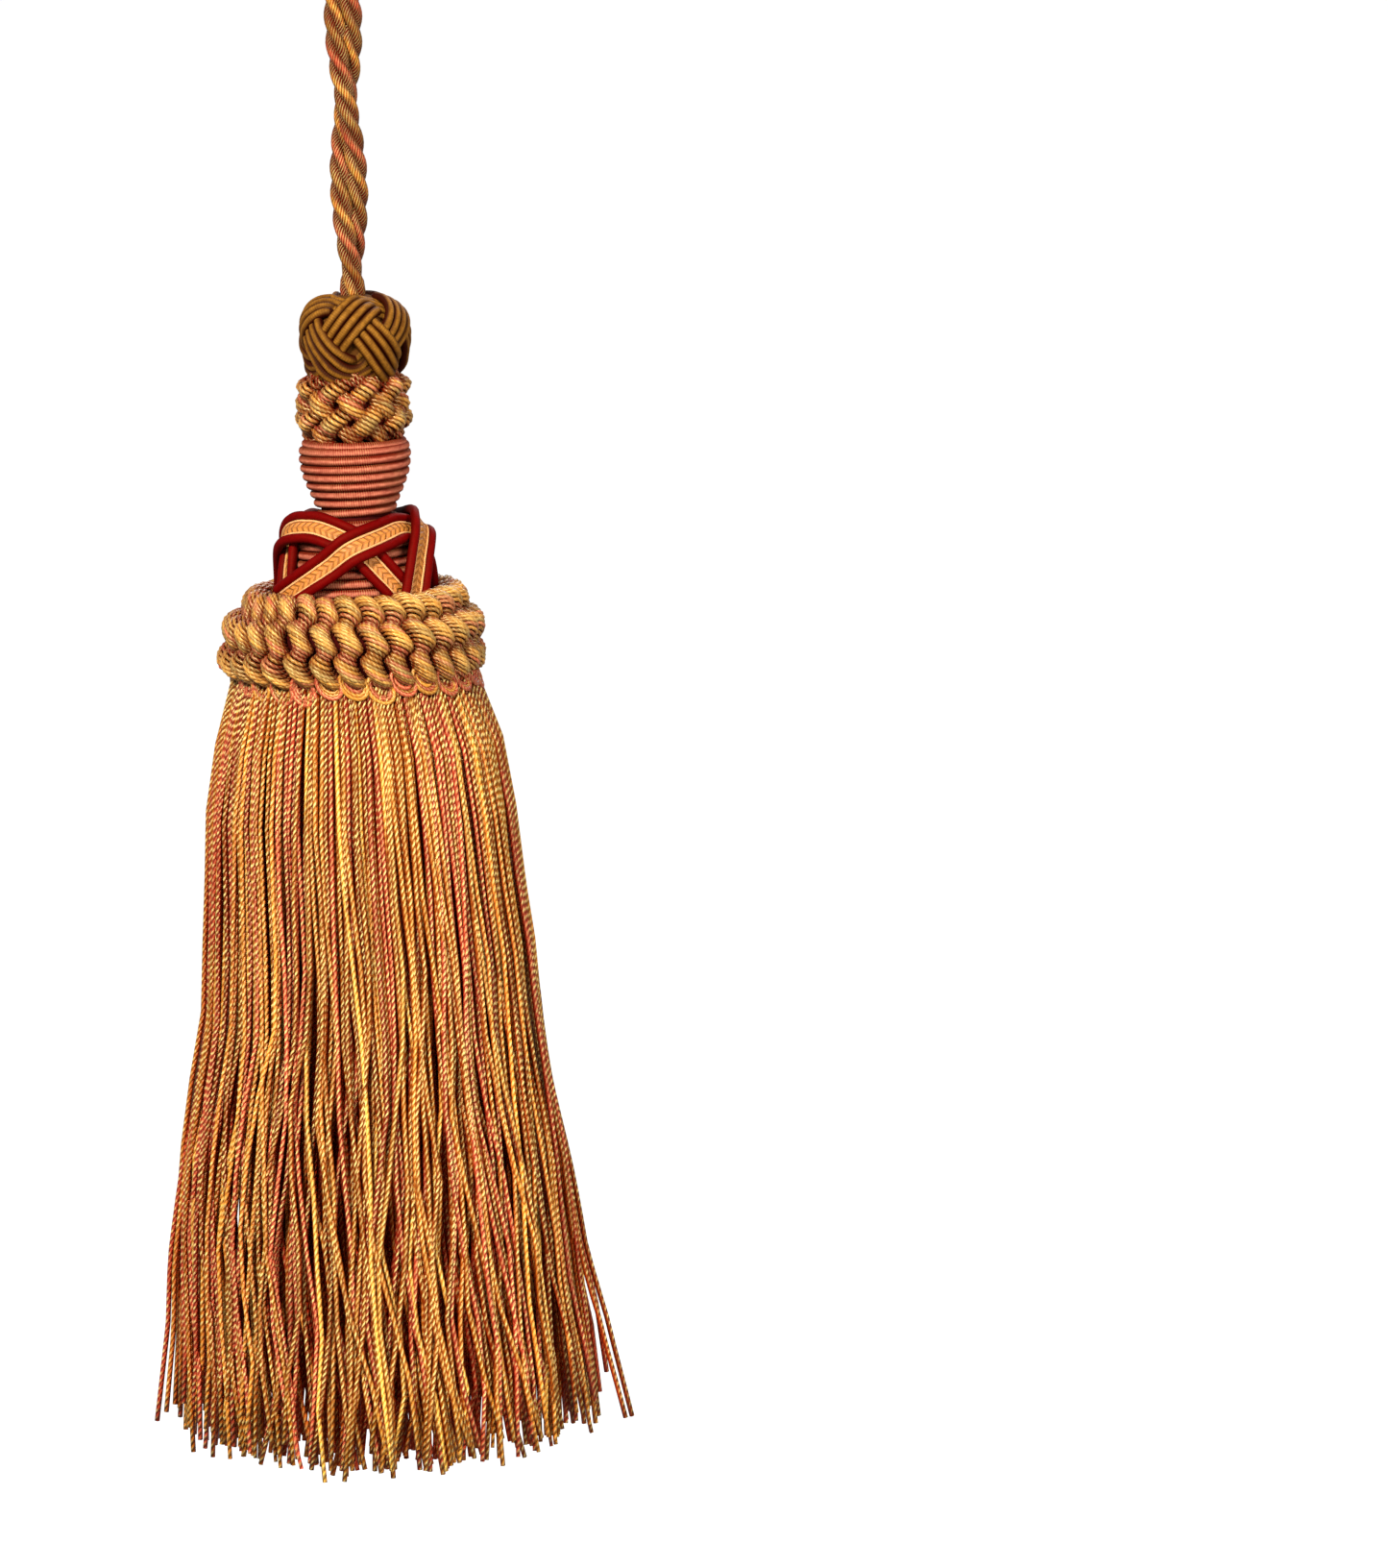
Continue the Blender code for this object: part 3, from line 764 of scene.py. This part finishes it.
# %% Wind the head
HEAD_SIDE = (
    (10.4, 29.7),
    (11.1, 30.9),
    (11.3, 33.0),
    (10.9, 36.0),
    (10.0, 38.6),
    (9.0, 41.0),
    (8.2, 43.2),
    (8.1, 44.4),
    (9.6, 45.7),
    (11.0, 47.2),
    (12.1, 49.0),
    (13.0, 51.2),
    (13.8, 54.0),
    (14.4, 57.0),
    (14.9, 60.0),
    (15.1, 63.0),
)
GIMP_PITCH = 1.9
GIMP_RADIUS = 0.88
TURN_STEPS = 36
head_curve = side_curve(HEAD_SIDE)
wind_start, wind_end = -1.2 * GIMP_PITCH, head_curve[0][-1] - 1.0
turns = (wind_end - wind_start) / GIMP_PITCH
steps = int(turns * TURN_STEPS)
wind_angle = -np.linspace(0, 360 * turns, steps)
wind_run = np.linspace(wind_start, wind_end, steps)
wind_route = on_side(head_curve, wind_angle, wind_run, -GIMP_RADIUS)
# painted shade on the gimp's upper and lower sides, in the grooves between turns
winding = yarn_mesh("head_winding", [(wind_route, GIMP_RADIUS * MM, SALMON)], 12, SALMON_SHADE, 1.32)
dress(winding, head_gimp, "winding", "winding")
turned_core("head_core", [(radius - 1.15, depth) for radius, depth in HEAD_SIDE], ground, "winding")
print("gimp wound on the head", round(float(run_along(wind_route)[-1]), 2), "m")

# %% [markdown]
# ## The crossing braids
# Over the bell run four bands, each a flat gold braid between two crimson cords. They cross in the same
# places as in the solid model, over and under. The cords are swept like the gimp. The braid is a flat
# strip with pale piping at its edges, so it gets a section of its own.

# %% Lay the braids over the bell
BRAID_SEAT = 0.1
BRAID_LIFT = 1.9
BRAID_CORD = 0.96
BRAID_OFFSET = 2.2
PIPING_OFFSET = 1.15
PIPING_RISE = 0.8
PIPING_YARN = 0.26
# Rows of angle, depth and, from 0 to 1, how far the band is lifted over another
BRAID_ROUTES = {
    "first": (
        (-56, 60.8, 1.0),
        (-37, 57.2, 0.8),
        (-18, 53.6, 0.6),
        (0, 50.6, 1.1),
        (28, 48.2, 0.3),
        (54, 47.2, 0.0),
        (78, 48.8, 0.0),
        (98, 53.5, 0.0),
        (114, 60.6, 0.0),
    ),
    "second": (
        (43, 60.8, 0.0),
        (28, 56.4, 0.0),
        (14, 52.4, 0.0),
        (0, 49.3, 0.0),
        (-26, 47.4, 0.2),
        (-50, 47.2, 0.6),
        (-76, 48.9, 1.1),
        (-98, 53.5, 0.4),
        (-115, 60.6, 0.0),
    ),
    "third": (
        (44, 60.8, 0.9),
        (50, 56.0, 0.9),
        (59, 51.4, 1.0),
        (76, 47.9, 1.1),
        (110, 47.2, 0.2),
        (150, 49.6, 0.4),
        (176, 55.2, 1.0),
        (190, 60.6, 0.9),
    ),
    "fourth": (
        (-60, 60.8, 0.0),
        (-64, 56.0, 0.0),
        (-72, 51.2, 0.0),
        (-89, 47.8, 0.0),
        (-120, 47.2, 0.0),
        (-150, 49.6, 0.0),
        (-176, 55.2, 0.0),
        (-190, 60.6, 0.0),
    ),
}


def braid_track(rows, count=90):
    """Angle, run down the head's side and lift along a braid, with the steps that lead sideways."""
    angle, depth, lift = smooth_rows(rows, count).T
    run = np.interp(depth, head_curve[2], head_curve[0])
    radius = np.interp(run, head_curve[0], head_curve[1])
    step_round, step_down = np.gradient(np.radians(angle)) * radius, np.gradient(run)
    length = np.hypot(step_round, step_down)
    return angle, run, lift, radius, step_round / length, step_down / length


def beside(track, across, rise):
    """The route at a sideways offset from a braid's middle."""
    angle, run, lift, radius, east, south = track
    there = run + across * east
    turn = angle - np.degrees(across * south / radius)
    return on_side(head_curve, turn, there, BRAID_SEAT + BRAID_LIFT * lift + rise)


cord_yarns, piping_yarns = [], []
for rows in BRAID_ROUTES.values():
    track = braid_track(rows)
    for side in (-1, 1):
        cord_yarns.append((beside(track, side * BRAID_OFFSET, BRAID_CORD), BRAID_CORD * MM, CRIMSON))
        piping_yarns.append((beside(track, side * PIPING_OFFSET, PIPING_RISE), PIPING_YARN * MM, PIPING))
# painted shade on the crimson cords' inward sides
cords = yarn_mesh("braid_cords", cord_yarns, 12, CRIMSON_SHADE)
dress(cords, crimson_cord, "bell_braid", "bell_braid")
# painted tan shade on the piping's inward sides
piping = yarn_mesh("braid_piping", piping_yarns, 6, TAN)
dress(piping, head_gimp, "bell_braid")

# %% [markdown]
# ## The flat braid
# The gold braid itself has a domed face with a plaited look. Its strip is built across from edge to edge,
# and its UV map says how far across and how far along a point is, so the plait's slanting stitches can
# meet in a row of points down the middle.

# %% Weave the flat braid
BRAID_FACE = ((-1.0, 0.0), (-1.0, 0.45), (-0.6, 0.8), (0.0, 0.72), (0.6, 0.8), (1.0, 0.45), (1.0, 0.0))
BRAID_HALF = 1.25
STITCH = 1.5


def strip_mesh(name, tracks):
    """One flat strip along each track, with the braid's face as its section."""
    points, faces, uvs = [], [], []
    across_count = len(BRAID_FACE)
    for track in tracks:
        start = sum(len(block) for block in points)
        columns = [beside(track, across * BRAID_HALF, rise) for across, rise in BRAID_FACE]
        rows = np.stack(columns, 1)
        run = run_along(rows[:, 3])
        points.append(rows.reshape(-1, 3))
        for i in range(len(rows) - 1):
            low, high = start + i * across_count, start + (i + 1) * across_count
            for j in range(across_count):
                k = (j + 1) % across_count
                faces.append((low + j, low + k, high + k, high + j))
                u0, u1 = (0.5 + 0.5 * BRAID_FACE[j][0], 0.5 + 0.5 * BRAID_FACE[k][0])
                uvs.extend(((u0, run[i]), (u1, run[i]), (u1, run[i + 1]), (u0, run[i + 1])))
        faces.append(tuple(range(start + across_count - 1, start - 1, -1)))
        last = start + (len(rows) - 1) * across_count
        faces.append(tuple(range(last, last + across_count)))
        uvs.extend([(0.5, 0.0)] * (2 * across_count))
    mesh = bpy.data.meshes.new(name)
    mesh.from_pydata(np.concatenate(points), [], faces)
    mesh.uv_layers.new(name="lay").data.foreach_set("uv", np.ravel(uvs))
    obj = put_in_scene(name, mesh)
    bpy.context.view_layer.objects.active = obj
    obj.select_set(True)
    bpy.ops.object.mode_set(mode="EDIT")
    bpy.ops.mesh.select_all(action="SELECT")
    bpy.ops.mesh.normals_make_consistent(inside=False)
    bpy.ops.object.mode_set(mode="OBJECT")
    obj.select_set(False)
    mesh.shade_smooth()
    print(name, len(faces), "faces")
    return obj


def plait_finish():
    """Slanting stitches that meet along the middle of the braid."""
    material, tree, shader = new_finish("plait", 0.5, 0.4)
    across, along = yarn_lay(tree)
    middle = maths(tree, "ABSOLUTE", maths(tree, "SUBTRACT", across, 0.5))
    stitches = maths(tree, "MULTIPLY", along, 1 / (STITCH * MM))
    slant = maths(tree, "ADD", stitches, maths(tree, "MULTIPLY", middle, 1.6))
    stitch = maths(tree, "ABSOLUTE", maths(tree, "SINE", maths(tree, "MULTIPLY", slant, math.pi)))
    # painted shade: the grooves between stitches and down the middle go over into the darker tan
    groove = remap(tree, remap(tree, middle, 0.0, 0.12), 0.0, 1.0, 0.55, 1.0)
    face = maths(tree, "MULTIPLY", remap(tree, stitch, 0.1, 0.8), groove)
    base = blend(tree, face, TAN_SHADE, TAN)
    tree.links.new(base, shader.inputs["Base Color"])
    relief(tree, shader, face, 0.25)
    return material


flat = strip_mesh("braid_gold", [braid_track(rows) for rows in BRAID_ROUTES.values()])
dress(flat, plait_finish(), "bell_braid")

# %% [markdown]
# ## The ruff
# The ruff is bullion too, stitched down in columns, so that each column swells into three beads. Every
# bead leans to the right and the next one starts further left, which gives the columns their wavy look.
# A coil that is wide where a bead is and narrow between beads needs one yarn per column.

# %% Coil the bullion ruff
RUFF_COLUMNS = 30
RUFF_BEADS = 3
RUFF_SIDE = (
    (16.4, 60.0),
    (18.5, 60.8),
    (20.6, 62.5),
    (22.4, 64.8),
    (23.8, 67.4),
    (24.4, 70.4),
    (24.2, 73.0),
    (23.3, 75.6),
    (22.4, 77.4),
)
RUFF_RADIUS = 24
RUFF_LEAN = 5.0
RUFF_SWING = 0.6
RUFF_TURNS = 28
BEAD_RADIUS = 2.55
BULLION_YARN = 0.43
RUFF_HIGHLIGHT = 0.05
RUFF_CORE = ((15.5, 61.0), (19.0, 62.3), (22.4, 66.0), (23.4, 71.0), (21.8, 76.6))
ruff_curve = side_curve(RUFF_SIDE)
ruff_length = ruff_curve[0][-1]


def bead_dyes_with_painted_light(bead, turns):
    """Gold and olive on the beads, rose between them, changing from turn to turn, painted darker towards the
    necks as shade and with a painted pale highlight at random towards the beads' middles.
    """
    table = []
    for at in np.linspace(bead[0], bead[-1], turns + 2):
        middle = 0.5 + 0.5 * math.cos(2 * math.pi * at)
        # painted shade: darker towards the necks between beads
        table.append(mixed_dye((7, 4, 2) if middle > 0.4 else (2, 2, 6)) * (0.5 + 0.6 * middle))
        # painted highlight: pale gold at random towards the bead's middle
        pale = 0.3 * middle * chance.random()
        table[-1] = table[-1] * (1 - pale) + PAINTED_HIGHLIGHT_GOLD * pale
    return turning_dyes(table, turns, len(bead))


ruff_yarns = []
for column in range(RUFF_COLUMNS):
    share = np.linspace(0, 1, RUFF_TURNS * COIL_STEPS)
    bead = RUFF_BEADS * (share + chance.uniform(-0.02, 0.02)) - 0.5
    swing = RUFF_SWING * np.sin(2 * math.pi * bead) * chance.uniform(0.85, 1.15)
    angle = 360 * column / RUFF_COLUMNS + RUFF_LEAN * (share - 0.5) + np.degrees(swing / RUFF_RADIUS)
    angle = angle + chance.uniform(-0.4, 0.4)
    swell = 0.5 + 0.5 * (0.5 + 0.5 * np.cos(2 * math.pi * bead)) ** 0.6
    run = ruff_length * (0.03 + 0.90 * share)
    lift = 0.3 + 1.6 * (swell - 1) + chance.uniform(-0.2, 0.2)
    wide = BEAD_RADIUS * swell * chance.uniform(0.94, 1.04)
    coil, proud = bullion(ruff_curve, angle, run, lift, wide, RUFF_TURNS, COIL_TIP)
    # painted shade on the coil's sides and between beads, from how far each point stands out and the swell
    bright = (proud + 0.05) * 1.1 * (0.2 + 0.9 * swell)
    colours = painted_shade_and_highlight(bead_dyes_with_painted_light(bead, RUFF_TURNS), bright, RUFF_HIGHLIGHT)
    ruff_yarns.append((coil, BULLION_YARN * MM, colours))
# painted shade on the bullion's inward sides
ruff = yarn_mesh("ruff_bullion", ruff_yarns, 6, RUST_SHADE, 0.2)
dress(ruff, floss, "ruff", "ruff")
turned_core("ruff_core", RUFF_CORE, ground, "ruff")

# %% [markdown]
# ## Loops under the ruff
# At the foot of a column the last turns of the yarn hang open as small loops. Each is a ring of three
# yarns, one in the next, leaning out a little from the skirt's top.

# %% Hang the small loops
SMALL_LOOP = 1.6
SMALL_LOOP_YARN = 0.5
SMALL_LOOP_DEPTH = 76.0
SMALL_LOOP_OUT = 23.9
loop_yarns = []
for column in range(RUFF_COLUMNS):
    centre = 360 * column / RUFF_COLUMNS + RUFF_LEAN / 2 + chance.uniform(-1.5, 1.5)
    drop = chance.uniform(-0.8, 0.9)
    turn = np.radians(np.linspace(0, 360, 21))
    for strand in range(3):
        wide = SMALL_LOOP + 0.4 * strand + chance.uniform(-0.15, 0.15)
        angle = centre + np.degrees((wide * np.cos(turn) + 0.4 * np.sin(turn)) / RUFF_RADIUS)
        depth = SMALL_LOOP_DEPTH + drop + 0.2 * strand + 1.1 * wide * np.sin(turn)
        radius = SMALL_LOOP_OUT + 0.3 * strand + 0.45 * np.sin(turn)
        loop_yarns.append((places(angle, radius, depth), SMALL_LOOP_YARN * MM, mixed_dye((3, 1, 6))))
# painted shade on the loops' inward sides
loops = yarn_mesh("ruff_loops", loop_yarns, 6, RUST_SHADE, 0.6)
dress(loops, floss, "ruff")

# %% [markdown]
# ## The skirt
# Hundreds of glossy twisted threads hang from a heading under the ruff. They start evenly round the rim,
# then drift into small bunches, cross each other and spread towards the hem, so dark gaps open between
# them. Each thread is a short chain of four-sided links, since there are so many, and its twist is in
# the finish. Layers further in fill the skirt, so that it is full from below as well. Their dyes go over
# into a painted rusty red shade the deeper they lie, each thread's inward side is painted in that shade,
# and its top under the ruff is painted dark as shade.

# %% Hang the skirt's threads
# Rows of depth and the skirt's outer radius
SKIRT_FLARE = (
    (77.0, 23.2),
    (80.0, 24.3),
    (84.0, 25.9),
    (88.4, 27.3),
    (96.0, 29.0),
    (103.0, 30.0),
    (112.0, 30.6),
    (128.0, 31.9),
    (136.0, 32.3),
    (143.5, 32.6),
    (151.0, 34.2),
    (159.0, 35.3),
    (175.0, 38.1),
    (191.0, 39.7),
    (200.0, 40.0),
    (207.0, 40.5),
    (223.0, 41.9),
    (240.0, 43.0),
)
SKIRT_TOP = 76.4
HEM = 229.3
HEM_CURVE = 1.3
HEM_RAGGED = 1.2
THREAD = 0.52
THREAD_LINKS = 12
BRIGHT_SHARE = 0.08
CROSSING_SHARE = 0.15
# Rows of how many threads, root radius, share of the outer radius at the hem, and share of painted rusty
# red shade mixed into the dye
SKIRT_LAYERS = (
    (165, 23.8, 0.985, 0.0),
    (155, 22.9, 0.945, 0.15),
    (135, 21.8, 0.88, 0.5),
    (120, 20.4, 0.79, 0.7),
    (100, 18.5, 0.67, 0.8),
    (80, 16.0, 0.53, 0.8),
    (56, 12.0, 0.36, 0.8),
    (24, 6.0, 0.18, 0.8),
)
bunches = [(count, chance.uniform(0, 360), chance.uniform(-200, 200)) for count in (7, 17, 29, 43, 61)]
flare_depth, flare_radius = np.array(SKIRT_FLARE).T


def bunching(angle, share):
    """How far sideways the threads at an angle have drifted, in degrees."""
    grown = np.clip((share - 0.06) / 0.55, 0, 1)
    drift = 0
    for count, start, wander in bunches:
        drift = drift + 0.24 / count * np.sin(np.radians(count * angle + start + wander * share))
    return np.degrees(drift) * grown


def thread_route(angle, root, reach, length, lean, proud):
    """One thread from the heading to its cut end."""
    share = np.linspace(0, 1, THREAD_LINKS)
    depth = SKIRT_TOP + share * length
    outer = np.interp(depth, flare_depth, flare_radius)
    full = np.clip(share * 4, 0, 1)
    radius = root * outer / flare_radius[0] * (1 - full) + full * outer * reach
    radius = np.maximum(radius, root) if reach > 0.8 else radius
    pace, first, second, third = (chance.uniform(0, 6.3) for _ in range(4))
    wave = 2 * math.pi * share * (1.2 + 0.3 * pace)
    radius = radius + proud * np.clip(share * 3, 0, 1) + 0.35 * share * np.sin(wave + first)
    sideways = 2.7 * share * np.sin(0.8 * wave + second) + 0.25 * np.sin(1.9 * wave + third)
    sideways = sideways * np.clip(share * 1.8, 0, 1)
    drift = bunching(angle, share) + lean * share**1.4 + np.degrees(sideways / radius)
    return places(angle + drift, radius, depth)


def thread_dyes_with_painted_shade(weights, inner_shade=0.0):
    """A thread's dye, lighter and darker by turns along it, with painted shade at its top under the ruff and
    mixed in by a share for inner layers, and pale at its cut end.
    """
    pace, start = chance.uniform(1, 3), chance.uniform(0, 6.3)
    share = np.linspace(0, 1, THREAD_LINKS)
    light = chance.uniform(0.45, 1.4) + 0.25 * np.sin(2 * math.pi * pace * share + start)
    # painted shade on the thread's top, under the ruff
    light[0] *= 0.3
    light[-2:] *= (1.2, 1.6)
    colour = BRIGHT_GOLD if chance.random() < BRIGHT_SHARE else mixed_dye(weights)
    # inner layers mixed towards the painted rusty red shade
    return (colour * (1 - inner_shade) + SKIRT_INNER_SHADE * inner_shade) * light[:, None]


skirt_total = 0
for number, (count, root, reach, inner_shade) in enumerate(SKIRT_LAYERS):
    threads = []
    for i in range(count):
        angle = 360 * (i + chance.uniform(-0.2, 0.2)) / count
        lean = chance.gauss(0, 4.6)
        if chance.random() < CROSSING_SHARE:
            lean = chance.choice((-1, 1)) * chance.uniform(6, 12)
        ragged = chance.gauss(0, HEM_RAGGED)
        length = HEM - SKIRT_TOP + HEM_CURVE * math.cos(math.radians(2 * angle)) + ragged
        route = thread_route(angle, root, reach, length, lean, chance.gauss(0, 0.6))
        threads.append((route, THREAD * MM, thread_dyes_with_painted_shade((5, 3, 5), inner_shade)))
    # painted rusty red shade on the threads' inward sides
    layer = yarn_mesh(f"skirt_threads_{number}", threads, 4, SKIRT_INNER_SHADE)
    dress(layer, skirt_yarn if number < 2 else inner_yarn, "skirt", "skirt")
    skirt_total += count
print("threads hung", skirt_total)

# %% [markdown]
# ## Stray threads
# Some threads have slipped out and cross over the rest, mostly bright ones, and a few stand away from the
# outline near the hem.

# %% Add the strays
STRAYS = 56
STRAY_ROOT = 24.0
SKIRT_HEADING = ((3.0, 75.6), (21.6, 76.0), (22.4, 78.4), (3.0, 79.2))
# Rows of angle, radius at five depths from 130 mm to the end, end depth and dye
LOOSE_ENDS = (
    (88, (32.2, 35.2, 40.2, 44.2, 49.6), 231.0, OLIVE),
    (82, (32.2, 35.0, 39.8, 43.2, 48.8), 230.0, OLIVE),
    (-84, (32.2, 34.8, 39.6, 43.6, 47.4), 229.0, ROSE),
    (-78, (32.0, 34.6, 39.0, 42.6, 45.8), 226.0, GOLD),
    (100, (32.0, 34.6, 39.2, 42.4, 45.2), 224.0, ROSE),
)
strays = []
for i in range(STRAYS):
    angle = chance.uniform(0, 360)
    lean = chance.choice((-1, 1)) * chance.uniform(4, 15)
    length = HEM - SKIRT_TOP + chance.uniform(-6, 3)
    route = thread_route(angle, STRAY_ROOT, 0.99, length, lean, 0.9)
    strays.append((route, THREAD * MM, thread_dyes_with_painted_shade((6, 2, 1)) * 1.2))
for angle, radii, end, colour in LOOSE_ENDS:
    rows = [(angle, STRAY_ROOT, SKIRT_TOP), (angle, 29.2, 100.0)]
    rows += [(angle, radius, 130 + (end - 130) * i / 4) for i, radius in enumerate(radii)]
    angles, radius, depth = smooth_rows(rows, 30).T
    strays.append((places(angles, radius, depth), THREAD * MM, colour))
# painted rusty red shade on the strays' inward sides
stray = yarn_mesh("skirt_strays", strays, 4, SKIRT_INNER_SHADE)
dress(stray, skirt_yarn, "skirt")
turned_core("skirt_heading", SKIRT_HEADING, ground, "skirt")

# %% [markdown]
# ## Studio
# A plain pale floor far below the hem, a soft key light from above the camera's left, a weaker one from
# the right, a third from behind, and an even surround. The surround is white to the camera, as the paper
# behind a catalogue picture is, but lights the tassel weakly, so that the lamps still model the yarn.

# %% Floor and lights
FLOOR_DROP = 0.5
SURROUND_SEEN = 1.0
SURROUND_LIGHT = 0.3
AIM = Vector((0, 0, -0.18))
bpy.ops.mesh.primitive_plane_add(size=60, location=(0, 0, cad_box[0][2] - FLOOR_DROP))
floor = bpy.context.object
floor.name = "studio_floor"
bpy.ops.object.transform_apply(location=True, rotation=True, scale=True)
floor_finish, _, floor_shader = new_finish("studio_floor", 0.9, 0.5)
floor_shader.inputs["Base Color"].default_value = (0.9, 0.9, 0.9, 1)
floor_shader.inputs["Emission Color"].default_value = (1, 1, 1, 1)
floor_shader.inputs["Emission Strength"].default_value = 0.75
floor.data.materials.append(floor_finish)
floor.visible_diffuse = False
floor.visible_glossy = False


def area_light(name, place, size, power):
    light = bpy.data.lights.new(name, "AREA")
    light.energy = power
    light.size = size
    obj = put_in_scene(name, light)
    obj.location = place
    obj.rotation_euler = (AIM - Vector(place)).to_track_quat("-Z", "Y").to_euler()
    print("light", name, power, "W")


area_light("key", (-0.45, -1.15, 0.75), 0.3, 37)
area_light("fill", (0.8, -1.0, 0.1), 0.5, 11)
area_light("back", (0.3, 1.0, 0.7), 0.8, 9)
world = bpy.data.worlds.new("surround")
bpy.context.scene.world = world
world.use_nodes = True
world_tree = world.node_tree
seen = world_tree.nodes.new("ShaderNodeLightPath").outputs["Is Camera Ray"]
background = world_tree.nodes["Background"]
background.inputs["Color"].default_value = (1, 1, 1, 1)
extra = maths(world_tree, "MULTIPLY", seen, SURROUND_SEEN - SURROUND_LIGHT)
strength = maths(world_tree, "ADD", extra, SURROUND_LIGHT)
world_tree.links.new(strength, background.inputs["Strength"])
bpy.context.scene.view_settings.view_transform = "Standard"
